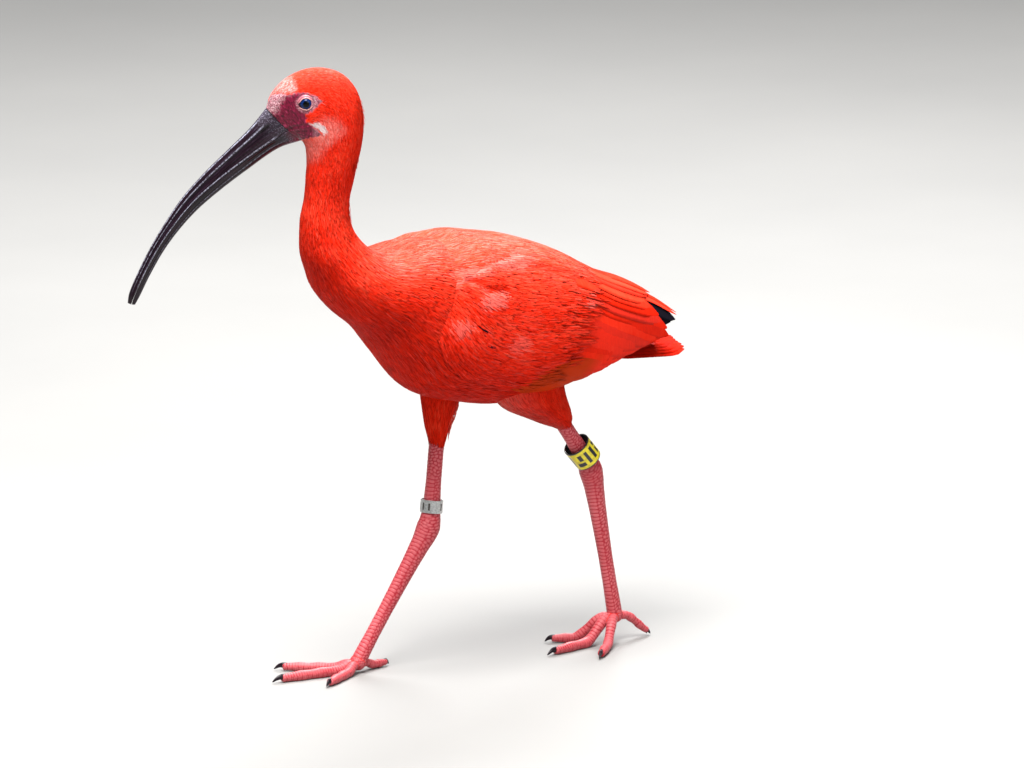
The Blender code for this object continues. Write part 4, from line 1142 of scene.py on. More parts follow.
def wrapAngle(angle):
    return (angle + math.pi) % (2 * math.pi) - math.pi


def underWing(t, angle):
    row = rowsAt(bodyTable, bodyTimes, t)
    middle = (row[:, 0] + row[:, 2]) / 2
    degrees = np.degrees(np.abs(wrapAngle(angle)))
    low, top = (np.interp(middle, wingCover["at"], wingCover[key]) for key in ("low", "top"))
    first, last = wingCover["ends"]
    return (middle > first) & (middle < last) & (degrees > top) & (degrees < low)


def coatSize(key, t):
    return np.interp(t, coat["at"], coat[key])


def coatDensity(t, angle):
    bare, _, _, _ = faceValues(t, angle)
    x, y, z, turn = bodyFlat(t, angle)
    nearEye = (np.hypot(x - eyeX, z - eyeZ) < face["eyeReach"]) & (np.abs(y) > face["side"])
    nearEye &= turn > face["turned"]
    covered = coatSize("length", t) * coatSize("width", t) * coat["cover"]
    return coatSize("layers", t) / covered * (1 - between(bare, 0.25, 0.75)) * ~nearEye * ~underWing(t, angle)


def layCoat(name, tRange, angleRange, seed):
    dice = np.random.default_rng(seed)
    t, angle = scatter(bodyPoint, tRange, angleRange, coatDensity, dice, coat["sampleSteps"])
    root = bodyPoint(t, angle)
    count = len(t)
    length = coatSize("length", t) * dice.uniform(*coat["vary"], count)
    width = coatSize("width", t) * dice.uniform(*coat["vary"], count)
    broad, fine = patchNoise(root, coat["patches"], seed)
    swing = 0.12 * broad + 0.05 * fine + dice.normal(0.0, 0.06, count)
    path, outs = walk(bodyPoint, t, angle, length, swing, coat["sampleSteps"])
    _, pale, white, blush = faceValues(t, angle)
    looser = coat["lift"] * np.interp(t, (0, 40, 120), (0.5, 0.9, 1.6))
    lift = looser * (1.0 + 0.8 * fine + dice.normal(0, 0.5, count))
    for ruffleT, ruffleAngle, reach in coat["ruffles"]:
        near = np.hypot(t - ruffleT, (angle - ruffleAngle) * 15.0) < reach
        lift = lift + near * (dice.random(count) < 0.12) * dice.uniform(0.5, 1.3, count)
    path = path + outs * lockHeights(coatDepth(t) * coat["rooted"], lift)[..., None]
    tone = lockTone(dice, broad, fine)
    pinkish = np.clip(dice.normal(0.0, 0.04, count) + pale * dice.uniform(0.1, 0.8, count), 0, 1)
    speckled = pale * np.clip(dice.normal(0.15, 0.4, count), 0, 1)
    blush = blush * dice.uniform(0.4, 1.3, count)
    values = {"tone": tone, "blush": np.clip(blush + pinkish, 0, 1), "white": np.clip(white + speckled, 0, 1)}
    return buildLocks(name, path, outs, width, bakeMap(t, angle, tRange, angleRange), values)


headEnd = bodyTime["napeLow"]
neckEnd = bodyTime["neckRoot"]
bodyEnd = bodyTimes[-1] - 2.0
layCoat("coatHeadRight", (0.3, headEnd), (0.0, math.pi), 1)
layCoat("coatHeadLeft", (0.3, headEnd), (-math.pi, 0.0), 5)
layCoat("coatNeck", (headEnd, neckEnd), (-math.pi, math.pi), 2)
layCoat("coatBodyRight", (neckEnd, bodyEnd), (0.0, math.pi), 3)
layCoat("coatBodyLeft", (neckEnd, bodyEnd), (-math.pi, 0.0), 4)

thigh = {
    # sizes at the top and at the bare leg, how much thinner the coat gets there
    "length": (11.0, 6.0), "width": (0.8, 0.62), "depth": (0.5, 0.4), "layers": 4.6, "taper": 0.9,
    "sampleSteps": (0.4, 0.04),
    # the fringe behind the right leg: how many locks, and the way they face
    "tuft": 46, "tuftWay": (-0.35, -0.6, 0.6),
}


def layThigh(label, seed):
    place, end = thighSurface(label)
    dice = np.random.default_rng(seed)
    tRange = (6.0, end - 0.2)

    def sized(key, t):
        return np.interp(t, (0.0, end), thigh[key])

    def density(t, angle):
        return thigh["layers"] / (sized("length", t) * sized("width", t) * coat["cover"])

    t, angle = scatter(place, tRange, (-math.pi, math.pi), density, dice, thigh["sampleSteps"], (80, 80))
    loose = np.zeros(len(t))
    if label == "right":
        # a ragged fringe behind the leg
        t = np.concatenate([t, dice.uniform(end * 0.55, end * 0.84, thigh["tuft"])])
        angle = np.concatenate([angle, math.pi + dice.normal(0.0, 0.3, thigh["tuft"])])
        loose = np.concatenate([loose, np.ones(thigh["tuft"])])
    count = len(t)
    root = place(t, angle)
    size = sized("length", t) * dice.uniform(0.75, 1.2, count)
    size = np.where(loose > 0, size * 1.3, np.minimum(size, end - t + dice.uniform(0.4, 6.5, count)))
    swing = 0.15 * noiseAt(root, 14.0, seed) + dice.normal(0, 0.07, count)
    path, outs = walk(place, t, angle, size, swing, thigh["sampleSteps"])
    lift = 0.1 + 0.08 * dice.standard_normal(count) + loose * dice.uniform(0.2, 2.0, count)
    height = lockHeights(sized("depth", t) * coat["rooted"], lift)
    far = t[:, None] + size[:, None] * lockSteps
    height = height - thigh["taper"] * between(far, end - 9.0, end + 2.0) * (1 - loose[:, None])
    path = path + outs * height[..., None]
    outs = np.where(loose[:, None, None] > 0, unit(outs * 0.4 + np.array(thigh["tuftWay"])), outs)
    # painted light: the loose fringe behind the right leg gets a lighter tone and some blush, which keeps it
    # from falling dark in the shade behind the leg
    tone = 0.45 + 0.12 * dice.standard_normal(count) + 0.15 * noiseAt(root, 8.0, seed) + 0.4 * loose
    tone = np.clip(np.clip(tone, 0, 1) - 0.12 * between(t, end - 12.0, end - 2.0) * (1 - loose), 0, 1)
    bake = bakeMap(t, wrapAngle(angle), tRange, (-math.pi, math.pi))
    width = sized("width", t) * dice.uniform(0.8, 1.2, count) * (1 + 0.4 * loose)
    # painted highlight: locks on the front of the left thigh that face forward get blush
    front = np.clip(-outs[:, 0, 0], 0, 1) if label == "left" else np.zeros(count)
    values = {"tone": tone, "blush": 0.55 * front * dice.uniform(0.3, 1.2, count) + 0.2 * loose}
    return buildLocks("coatThigh" + label.title(), path, outs, width, bake, values)


layThigh("left", 21)
layThigh("right", 22)


# broad feathers of the wings and the tail

vane = {
    # places across a feather in half widths, and its height and thickness in millimetres
    "across": np.array((-1.0, -0.62, -0.12, 0.12, 0.62, 1.0)), "camber": 0.12,
    "shaft": 0.12, "shaftReach": 0.2, "thick": 0.28, "rim": 0.1, "rimFrom": 0.9, "roundTip": 0.3,
}


def raggedEdge(draws):
    # how far a feather's rims stand back, in half widths: draws has one column for each rim
    edge = np.zeros((len(draws), len(vane["across"])))
    edge[:, [0, -1]] = -0.35 + 0.12 * draws
    edge[:, [1, -2]] = edge[:, [0, -1]] * 0.35
    return edge


def buildVane(feather, first):
    # points, faces counted on from the first one, maps and values of one closed feather
    across = vane["across"]
    wide = len(across)
    path, outs = feather["path"], feather["outs"]
    steps = len(path)
    ahead = unit(np.gradient(path, axis=0))
    side = unit(np.cross(ahead, outs))
    up = unit(np.cross(side, ahead))
    roll = feather["roll"]
    side, up = side * math.cos(roll) + up * math.sin(roll), up * math.cos(roll) - side * math.sin(roll)
    s = np.linspace(0.0, 1.0, steps)
    tip = feather.get("tip", vane["roundTip"])
    rounded = np.sqrt(np.clip(1.0 - np.clip((s - 1 + tip) / tip, 0, 1) ** 2, 0.012, 1))
    half = (feather["width"] * np.minimum(1.0, 0.55 + 1.6 * s) * rounded / 2)[:, None]
    shaft = np.where(np.abs(across) < vane["shaftReach"], vane["shaft"], 0.0)
    height = vane["camber"] * half * (1 - across ** 2) + shaft
    top = path[:, None] + side[:, None] * (across * half)[..., None] + up[:, None] * height[..., None]
    top = top + ahead[:, None] * (feather["edge"] * half)[..., None]
    thick = np.where(np.abs(across) > vane["rimFrom"], vane["rim"], vane["thick"]) * (1.0 - 0.5 * s)[:, None]
    under = top - up[:, None] * thick[..., None]
    points = np.concatenate([top, under[:, ::-1]], 1).reshape(-1, 3)
    j = np.arange(wide - 1)
    start = first + np.stack([j, j + 1, 2 * wide - 2 - j, 2 * wide - 1 - j], -1)
    ends = [start, start[:, ::-1] + (steps - 1) * 2 * wide]
    faces = np.concatenate([gridFaces(steps, 2 * wide, first), *ends])
    around = np.concatenate([across, across[::-1]])
    length = runningLength(path)[-1]
    lie = np.stack([around * half, np.repeat((s * length)[:, None] + feather["shift"], 2 * wide, 1)], -1)
    local = np.stack([np.tile((around + 1) / 2, (steps, 1)), np.repeat(s[:, None], 2 * wide, 1)], -1)
    maps = {"OFBake": np.array(feather["bake"]) + local.reshape(-1, 2) * bakePatch, "lie": lie.reshape(-1, 2)}
    values = {"along": np.repeat(s, 2 * wide), "lay": np.repeat(outs, 2 * wide, axis=0)}
    for key in ("tone", "blush", "dull", "white", "dark"):
        value = np.asarray(feather.get(key, 0.0))
        # one value, one for each step, or one for each place of the top
        value = np.broadcast_to(value[:, None] if value.ndim == 1 else value, (steps, wide))
        values[key] = np.concatenate([value, value[:, ::-1]], 1).ravel()
    return points, faces, maps, values


def joinSets(sets):
    # dictionaries of arrays, joined key by key
    return {key: np.concatenate([one[key] for one in sets]) for key in sets[0]}


def buildVanes(name, feathers, replaced):
    # feathers: dictionaries with path, outs, width, edge, roll, shift, bake place and values
    built, count = [], 0
    for feather in feathers:
        built.append(buildVane(feather, count))
        count += len(built[-1][0])
    pointSets, faceSets, mapSets, valueSets = zip(*built)
    points = np.concatenate(pointSets)
    values = joinSets(valueSets)
    values["blush"] = np.clip(values["blush"] + markValues(points, "blush"), 0, 1)
    mesh = makeMesh(name, points, turnOut(points, [np.concatenate(faceSets)]), values, joinSets(mapSets))
    return addPiece(name, mesh, vaneMaterial, "plumage", replaced)


wing = {
    # count, first root, last root, first tip, last tip, width, tip height, layer, points along
    "primaries": (5, (44, 50), (44, 84), (123, 58), (113, 80), 10.5, -0.4, 0.3, 16),
    "secondaries": (14, (6, 62), (-14, 138), (112, 92), (30, 138), 13.5, 0.6, 0.1, 14),
    "tertials": (8, (-4, 12), (0, 56), (117, 26), (116, 84), 14.0, 2.0, 0.22, 18),
    "longTertials": (2, (40, 28), (46, 38), (123, 37), (124, 46), 5.2, 1.0, 0.15, 14),
    "greaterCoverts": (19, (-34, 50), (-44, 135), (26, 56), (-14, 136), 10.0, 0.0, 0.02, 12),
    "medianCoverts": (14, (-54, 52), (-58, 128), (-4, 56), (-24, 131), 11.5, -0.9, 0.01, 9),
    "scapularsRear": (9, (-14, 5), (-18, 44), (62, 6), (42, 52), 11.0, 1.0, 0.03, 14),
    "scapularsMid": (6, (-40, 8), (-42, 42), (20, 9), (12, 42), 13.0, 0.2, 0.03, 10),
}

wingFit = {
    # the near wing's tertials end earlier, the tips of its flight feathers show behind them
    "tertialAngles": (20, 44, 55, 70, 88),
    "tertialTips": {"left": (100, 92, 90, 103, 113), "right": (120, 121, 120, 118, 115)},
    # how far back the greater coverts reach at each angle, they leave a dull strip bare
    "covertTips": ((52, 96, 106, 114, 124, 136), (30, 38, 18, 4, -6, -13)),
    "dullLine": ((-24, -13, -3, 8, 33, 60), (142, 132, 117, 112, 106, 104)),
    # the lower edge of the mantle on the wing, and the fold under it
    "mantleEdge": ((-97, -87, -69, -47, -25, 11, 40, 66), (54, 68, 56, 46, 40, 42, 46, 46)),
    "crease": ((-73, 49.0), (-66, 51.5), (-59, 56.0), (-45, 55.5)), "creaseDepth": 1.9, "creaseWidth": 2.6,
    "degreeSize": 0.8, "sampleSteps": (0.5, 1.0),
    # heights of the soft feathers over the wing, and the lower border of the small coverts
    "mantleHeight": ((-92, -50, -14, 18, 44, 66), (0.6, 1.9, 2.9, 2.3, 1.5, 1.2)),
    "covertHeight": ((-52, -4, 16, 40), (1.3, 1.15, 1.2, 1.1)),
    "lowEdge": ((-97, -92, -70, -40, -5, 30), (82, 96, 122, 137, 137, 125)),
    # a painted highlight along the ridge at the mantle's edge, and its half width
    "ridge": ((-87, 54.4), (-69, 44.8), (-47, 36.8), (-25, 28.8)), "ridgeWidth": 1.4,
    # the shoulder of the far side stands a little higher: height, x, half width
    "farShoulder": (3.4, -80.0, 12.0),
    # the dull strip: its soft border in degrees, its strength, and the x where it starts
    "dullBorder": (-1.5, 1.5), "dullStrength": 0.9, "dullFrom": (-42.0, -28.0),
}


def wingSunk(x, degrees):
    # the front and lower borders of the wing sink into the feathers of the body
    low = np.interp(x, *wingFit["lowEdge"])
    front = 1 - between(x, -96.0, -52.0)
    under = between(degrees, low - 20.0, low) * (1 - between(x, -34.0, -6.0))
    lowFront = (1 - between(x, -94.0, -66.0)) * between(degrees, 34.0, 70.0)
    return 4.6 * front + 2.4 * under + 2.6 * lowFront


def wingFeather(dice, side, label, name, k):
    # one feather of a row, as buildVanes needs it
    place = wingEnvelope(side)
    count, rootA, rootB, tipA, tipB, width, tipHeight, layer, steps = wing[name]
    share = k / (count - 1)
    root = np.array(rootA) + (np.array(rootB) - np.array(rootA)) * share
    tip = np.array(tipA) + (np.array(tipB) - np.array(tipA)) * share
    if name == "tertials":
        tip[0] = np.interp(tip[1], wingFit["tertialAngles"], wingFit["tertialTips"][label])
    if name == "greaterCoverts":
        tip[0] = np.interp(tip[1], *wingFit["covertTips"])
    tip = tip + dice.normal(0.0, (1.2, 0.6))
    s = np.linspace(0.0, 1.0, steps)
    x, degrees = (root[:, None] + (tip - root)[:, None] * s)
    top = tipHeight - layer * k
    rootHeight = min(top, 0.2) - 2.4
    height = rootHeight + (top - rootHeight) * smooth(s * 1.35)
    if name.endswith("Coverts"):
        height = height - wingSunk(x, degrees)
    _, _, out = surfaceFrame(place, x, degrees, *wingFit["sampleSteps"])
    out = out * side
    edge = raggedEdge(dice.standard_normal((2, steps)).T)
    # painted light and shade: the tone rises on feathers that face up and falls on those that face down, and
    # dips a little at the very tip
    tone = 0.5 + 0.1 * dice.standard_normal() + 0.3 * out[:, 2] - 0.15 * between(s, 0.95, 1.0)
    # painted shade: darker along both rims, where the overlapping feathers shade each other's edges
    tone = tone[:, None] - np.array((0.2, 0.0, 0.0, 0.0, 0.0, 0.2))
    feather = {
        "path": place(x, degrees) + out * height[:, None], "outs": out,
        "width": width * dice.uniform(0.93, 1.07), "edge": edge, "roll": -side * 0.05,
        "shift": dice.uniform(0, 90),
        "bake": ((list(wing).index(name) + 0.1 + 0.8 * share) / len(wing), 0.02 + 0.9 * dice.random()),
        "tone": np.clip(tone, 0, 1), "blush": np.clip(dice.normal(0.0, 0.03), 0, 1),
    }
    if name == "secondaries":
        line = np.interp(x, *wingFit["dullLine"]) + dice.normal(0.0, 2.5)
        below = between(degrees - line, *wingFit["dullBorder"])
        feather["dull"] = wingFit["dullStrength"] * below * (1 - between(x, 34.0, 54.0))
    if name == "primaries":
        feather["dark"] = between(s, 0.5, 0.56)
        feather["tip"] = 0.2
    return feather


def layWing(side, label, seed):
    dice = np.random.default_rng(seed)
    feathers = [wingFeather(dice, side, label, name, k) for name in wing for k in range(wing[name][0])]
    return buildVanes("wingFeathers" + label.title(), feathers, ["wing_" + label])


layWing(-1, "left", 31)
layWing(1, "right", 32)

wingSoft = {
    "at": (-97.0, -70.0, -40.0, 0.0, 40.0), "length": (9.0, 11.0, 13.0, 15.0, 17.0),
    "width": (1.05, 1.2, 1.35, 1.45, 1.5), "layers": 6.0, "lift": 0.05, "depth": 0.3, "patches": (18.0, 6.0),
    "xRange": (-97.0, 66.0), "degreeRange": (0.0, 140.0),
    # the bed of down below: how far under the feathers, thickness, step along, points across, edge kept free
    "bed": 0.3, "bedThick": 0.5, "bedStep": 1.4, "bedAcross": 70, "bedEdge": 3.0,
}


def wingRuns(x, degrees):
    # how far a place has come along the mantle, and along the small coverts
    return x + degrees * 0.3, x + (degrees - 60) * 0.42


def onMantle(x, degrees):
    line = np.interp(x, *wingFit["mantleEdge"])
    return 1 - between(degrees, line - 2.0, line + 8.0)


def dullStrip(x, degrees, line):
    strip = between(degrees - line, *wingFit["dullBorder"])
    return wingFit["dullStrength"] * strip * between(x, *wingFit["dullFrom"])


def wingTop(x, degrees, side):
    # height of the wing's outer face over its envelope
    high = onMantle(x, degrees)
    upper = np.interp(x, *wingFit["mantleHeight"]) * high
    upper += np.interp(x, *wingFit["covertHeight"]) * (1 - high)
    fold = polylineAway(x, degrees * wingFit["degreeSize"], wingFit["crease"])
    dent = hump(fold, wingFit["creaseDepth"], 0.0, wingFit["creaseWidth"])
    top = upper * between(x, -92.0, -52.0) - wingSunk(x, degrees) - dent
    if side > 0:
        shoulder = between(degrees, 8.0, 28.0) * (1 - between(degrees, 48.0, 76.0))
        top += hump(x, *wingFit["farShoulder"]) * shoulder
    return top


def layWingSoft(name, side, mantle, seed):
    # the mantle over the shoulders, or the small coverts below it
    dice = np.random.default_rng(seed)

    def place(x, degrees):
        return wingShape(side, x, degrees, wingTop(x, degrees, side))

    def layout(x, degrees):
        line = np.interp(x, *wingFit["mantleEdge"])
        mantleRun, covertRun = wingRuns(x, degrees)
        if mantle:
            return (degrees < line) * (1 - between(mantleRun, 20.0, 62.0))
        low = np.interp(x, *wingFit["lowEdge"])
        return (degrees > line - 3.0) * (degrees < low) * (1 - between(covertRun, -12.0, 48.0))

    def sized(key, x):
        return np.interp(x, wingSoft["at"], wingSoft[key])

    def density(x, degrees):
        covered = sized("length", x) * sized("width", x) * coat["cover"]
        return wingSoft["layers"] / covered * layout(x, degrees)

    ranges = (wingSoft["xRange"], wingSoft["degreeRange"])
    x, degrees = scatter(place, *ranges, density, dice, wingFit["sampleSteps"], (120, 110))
    count = len(x)
    root = place(x, degrees)
    length = sized("length", x) * dice.uniform(*coat["vary"], count)
    width = sized("width", x) * dice.uniform(*coat["vary"], count)
    broad, fine = patchNoise(root, wingSoft["patches"], seed)
    lean = 0.06 if mantle else 0.55 * (1 - between(x, -80.0, -25.0)) * between(degrees, 50.0, 75.0)
    swing = lean + 0.1 * broad + 0.03 * fine + dice.normal(0, 0.045, count)
    path, outs = walk(place, x, degrees, length, swing, wingFit["sampleSteps"])
    outs = outs * side
    lift = wingSoft["lift"] * (1 + 0.8 * fine + dice.normal(0, 0.5, count))
    path = path + outs * lockHeights(wingSoft["depth"], lift)[..., None]
    tone = lockTone(dice, broad, fine)
    # painted highlight: locks near the ridge at the mantle's edge get more blush
    away = polylineAway(x + length * 0.6, degrees * wingFit["degreeSize"], wingFit["ridge"])
    line = np.interp(x + length * 0.5, *wingFit["dullLine"]) - dice.normal(0.0, 1.5, count)
    blush = np.clip(dice.normal(0.0, 0.05, count) + hump(away, 0.38, 0.0, wingFit["ridgeWidth"]), 0, 1)
    values = {"tone": tone, "blush": blush, "dull": dullStrip(x, degrees, line) * (not mantle)}
    return buildLocks(name, path, outs, width, bakeMap(x, degrees, *ranges), values)


def layWingBed(name, side):
    # a thin bed of down that closes the gaps between the soft feathers of a wing
    first, last = wingSoft["xRange"]
    levels = np.arange(first + 1.0, last, wingSoft["bedStep"])
    shape = (len(levels), wingSoft["bedAcross"], -1)
    x = np.repeat(levels, wingSoft["bedAcross"])
    reach = np.interp(levels, *wingFit["lowEdge"]) - wingSoft["bedEdge"]
    degrees = (reach[:, None] * np.linspace(0.0, 1.0, wingSoft["bedAcross"])).ravel()
    high = onMantle(x, degrees)
    mantleRun, covertRun = wingRuns(x, degrees)
    behind = high * between(mantleRun, 22.0, 60.0) + (1 - high) * between(covertRun, -10.0, 26.0)
    height = wingTop(x, degrees, side) - wingSoft["bed"] - 4.0 * behind
    top = wingShape(side, x, degrees, height).reshape(shape)
    under = wingShape(side, x, degrees, height - wingSoft["bedThick"]).reshape(shape)
    _, _, out = surfaceFrame(wingEnvelope(side), x, degrees, *wingFit["sampleSteps"])
    out = out * side

    def spread(value):
        value = value.reshape(shape)
        both = np.concatenate([value, value[:, ::-1]], 1).reshape(-1, value.shape[2])
        return np.concatenate([both, both[:1], both[-1:]]).squeeze()

    up = out[:, 2]
    values = {key: spread(0 * x) for key in ("blush", "white", "dark")}
    # painted light and shade: the bed's tone is raised where it faces up and lowered where it faces down
    values["tone"] = np.clip(spread(0.5 + 0.34 * up + 0.3 * np.minimum(up, 0)), 0, 1)
    values["dull"] = spread(dullStrip(x, degrees, np.interp(x, *wingFit["dullLine"])))
    values["along"] = spread(0 * x + 0.5)
    values["lay"] = spread(out)
    bake = bakeMap(x, degrees, wingSoft["xRange"], wingSoft["degreeRange"])
    lie = np.stack([degrees * wingFit["degreeSize"], x], -1)
    rings = np.concatenate([top, under[:, ::-1]], 1)
    mesh = closedMesh(name, rings, values, {"OFBake": spread(bake), "lie": spread(lie)})
    return addPiece(name, mesh, coatMaterial, "plumage")


layWingBed("wingBedLeft", -1)
layWingBed("wingBedRight", 1)
layWingSoft("wingCovertsLeft", -1, False, 41)
layWingSoft("wingCovertsRight", 1, False, 42)
layWingSoft("mantleLeft", -1, True, 43)
layWingSoft("mantleRight", 1, True, 44)

tail = {
    "feathers": 12, "root": (72.0, 197.5), "tip": (133.6, 190.6), "halfWidth": 16.0, "layer": 0.35,
    "width": 11.5, "steps": 14, "tone": 0.16, "roundTip": 0.2,
    # the feathers' roll at the middle and at the sides, how the tail leans and slants to the left
    "roof": (0.04, 0.1), "lean": 0.5, "slant": -0.6,
    # root (x, z), tip (x, z), half spread at root and tip, tone, 1 above the tail and -1 below it
    "coverts": (
        ((74.0, 222.5), (113.0, 203.0), (8.0, 11.0), 0.5, 1),
        # the coverts below the tail take a darker tone, painted shade under the tail
        ((62.0, 187.0), (114.0, 188.2), (9.0, 9.0), 0.25, -1),
    ),
    "covertCount": 9, "covertWidth": 10.0, "covertSteps": 10,
}


def layTail(seed):
    dice = np.random.default_rng(seed)
    feathers = []
    half = tail["feathers"] // 2
    up = unit(np.array((0.0, -tail["lean"], 1.0)))

    def addFeather(x, y, z, width, tone, roll):
        tone = tone + 0.1 * dice.standard_normal()
        feathers.append({
            "path": np.stack([x, y, z], -1), "outs": np.tile(up, (len(x), 1)), "width": width, "roll": roll,
            "edge": raggedEdge(dice.standard_normal((len(x), 2))), "shift": dice.uniform(0, 90),
            "bake": (0.05 + 0.9 * len(feathers) / 40, 0.5),
            "tone": np.clip(tone, 0, 1), "tip": tail["roundTip"],
        })

    (rootX, rootZ), (tipX, tipZ) = tail["root"], tail["tip"]
    s = np.linspace(0, 1, tail["steps"])
    for side in (-1, 1):
        for k in range(half):
            out = (k + 0.5) / half
            layer = -tail["layer"] * k + (0.0 if side < 0 else -tail["layer"] / 2)
            x = rootX + (tipX - rootX - 2.5 * out * out + dice.normal(0, 1.0)) * s
            z = rootZ + (tipZ - rootZ) * s + layer - (5.5 - 4.5 * s) * out * out
            y = side * out * (6.0 + (tail["halfWidth"] - 12.0) * s)
            # the tail leans a little to the left
            z, x = z + tail["lean"] * y, x + tail["slant"] * y * s
            roll = side * (tail["roof"][0] + tail["roof"][1] * out)
            addFeather(x, y, z, tail["width"], tail["tone"], roll)
    s = np.linspace(0, 1, tail["covertSteps"])
    for (rootX, rootZ), (tipX, tipZ), spread, tone, above in tail["coverts"]:
        for k in range(tail["covertCount"]):
            out = 2.0 * k / (tail["covertCount"] - 1) - 1.0
            x = rootX + (tipX - rootX + dice.normal(0, 2.0)) * s
            z = rootZ + (tipZ - rootZ) * s - 2.2 * out * out * above + 0.2 * (k % 2)
            y = out * (spread[0] + (spread[1] - spread[0]) * s)
            addFeather(x, y, z, tail["covertWidth"], tone, out * 0.6 * above)
    return buildVanes("tailFeathers", feathers, ["tail"])


layTail(51)

# bill

bill = {
    # culmen (x, z), lower edge (x, z), half width, share above the mouth
    "rows": np.array((
        (-181.7, 376.2, -159.2, 355.6, 7.5, 0.62), (-191.6, 363.7, -174.0, 350.4, 6.9, 0.67),
        (-206.7, 348.6, -194.5, 335.9, 5.9, 0.62), (-220.1, 335.2, -208.9, 324.8, 5.2, 0.58),
        (-234.3, 319.1, -224.3, 311.5, 4.6, 0.55), (-245.4, 302.7, -236.9, 297.5, 4.2, 0.54),
        (-254.7, 287.0, -247.1, 283.2, 3.8, 0.53), (-263.2, 269.9, -256.1, 266.9, 3.5, 0.52),
        (-268.7, 256.7, -262.1, 254.4, 3.1, 0.52), (-269.8, 250.3, -265.0, 249.1, 2.2, 0.52),
    )),
    "gap": 0.35, "levels": 210, "arc": 60, "start": -0.8, "hollow": 0.5, "keel": 0.1,
    "grooveWidth": 6.0, "grooveDepth": 0.95, "grooveEnd": (25.0, 4.0),
    "nostrilAt": 9.0, "nostrilLength": 4.2, "nostrilWidth": 5.0, "nostrilDepth": 0.9,
    # height, distance from the cutting edge in degrees, half width
    "rim": (0.3, 3.0, 7.0),
}
billHalves = {
    "billUpper": {"node": "bill_upper", "upper": 1, "groove": 64.0, "grooveStart": (5.0, 12.0), "share": 1.0},
    "billLower": {"node": "bill_lower", "upper": 0, "groove": 58.0, "grooveStart": (4.0, 16.0), "share": 0.6},
}


def makeBillHalf(name):
    half = billHalves[name]
    upper, grooveAt = half["upper"], half["groove"]
    times = middleLengths(bill["rows"])
    t = np.linspace(bill["start"], times[-1], bill["levels"])
    columns = rowsAt(bill["rows"], times, t).T[..., None]
    topX, topZ, lowX, lowZ, wide, share = columns
    t = t[:, None]
    level = share + (0.5 - upper) * bill["gap"] / np.hypot(topX - lowX, topZ - lowZ)
    edge = np.arccos(np.clip(1 - 2 * level, -1, 1))
    # angles from the half's own middle line to its cutting edges
    reach = edge if upper else math.pi - edge
    off = reach * np.linspace(-1.0, 1.0, bill["arc"])
    angle = off if upper else math.pi + off
    away = np.abs(np.degrees(off))
    edgeAway = np.degrees(reach) - away
    groove = hump(away, 1.0, grooveAt, bill["grooveWidth"])
    before, end = (times[-1] - left for left in bill["grooveEnd"])
    shown = between(t, *half["grooveStart"]) * half["share"] * (1 - between(t, before, end))
    nostril = upper * np.exp(-((t - bill["nostrilAt"]) / bill["nostrilLength"]) ** 4)
    nostril = nostril * hump(away, 1.0, grooveAt, bill["nostrilWidth"])
    ripple = 0.05 * np.sin(t * 2.4 + 0.6 * np.sin(t * 0.9)) * between(away, 20, 60) * (1 - between(t, 20, 60))
    rim = hump(edgeAway, *bill["rim"]) * between(t, 2.0, 14.0)
    sink = bill["grooveDepth"] * groove * shown + bill["nostrilDepth"] * nostril - ripple - rim
    down = (1 - np.cos(angle)) / 2
    # a sharper culmen and keel
    sharper = 1 - bill["keel"] * np.clip(np.cos(off), 0, 1) ** 2
    y = np.sin(angle) * wide * (1.0 - sink / wide) * sharper
    x = topX + (lowX - topX) * down
    z = topZ + (lowZ - topZ) * down
    points = turned(x.ravel(), y.ravel(), z.ravel(), 1.0).reshape(len(t), -1, 3)
    # the inner face, a little hollow
    a, b = points[:, -1:], points[:, :1]
    inner = np.linspace(0, 1, 7)[1:-1][None, :, None]
    towards = unit(points[:, [bill["arc"] // 2]] - (a + b) / 2)
    hollow = np.sin(math.pi * inner) * bill["hollow"] * np.clip(wide / 7, 0, 1)[..., None]
    rings = np.concatenate([points, a + (b - a) * inner + towards * hollow], 1)

    def spread(value):
        # values of the outer face, zero on the inner one
        return zeroEnds(np.concatenate([value, np.zeros((len(t), inner.size))], 1))

    # painted highlights: bright lines above the groove, on the cutting edge and along the culmen
    billGlints = hump(away, 0.5, grooveAt - 11.0, 2.4)
    if upper:
        billGlints += hump(edgeAway, 0.9, 2.0, 2.2) + hump(away, 0.8, 18.0, 4.0)
    values = {
        "pale": spread(hump(t, 1.0, 1.0, 8.0) * (0.95 - 0.7 * between(away, 22, 60))),
        # painted shade: the nostril slit is darkened
        "dark": spread(nostril),
        "blush": spread((1 - upper) * hump(t, 1.0, -1.0, 3.5) * between(away, 90.0, 20.0)),
        "groove": spread(groove * shown), "edge": spread(billGlints * shown).clip(0, 1),
    }
    # a map round the bill and along it, in millimetres
    lie = np.stack([spread(off * 6.0), zeroEnds(np.repeat(t, rings.shape[1], 1))], -1)
    mesh = closedMesh(name, rings, values, {"lie": lie})
    return addPiece(name, mesh, billMaterial, "bill_horn", [half["node"]])


hornLook = {
    "black": (0.003, 0.001, 0.003), "brown": (0.016, 0.005, 0.010), "wear": (0.10, 0.07, 0.14),
    # groove and nostril are painted shade in the bill's hollows, and edge is the colour of the painted
    # highlight lines
    "scurf": (0.40, 0.36, 0.46), "red": (0.22, 0.008, 0.03), "groove": (0.006, 0.003, 0.006),
    "edge": (0.70, 0.70, 0.86), "nostril": (0.004, 0.002, 0.003),
}


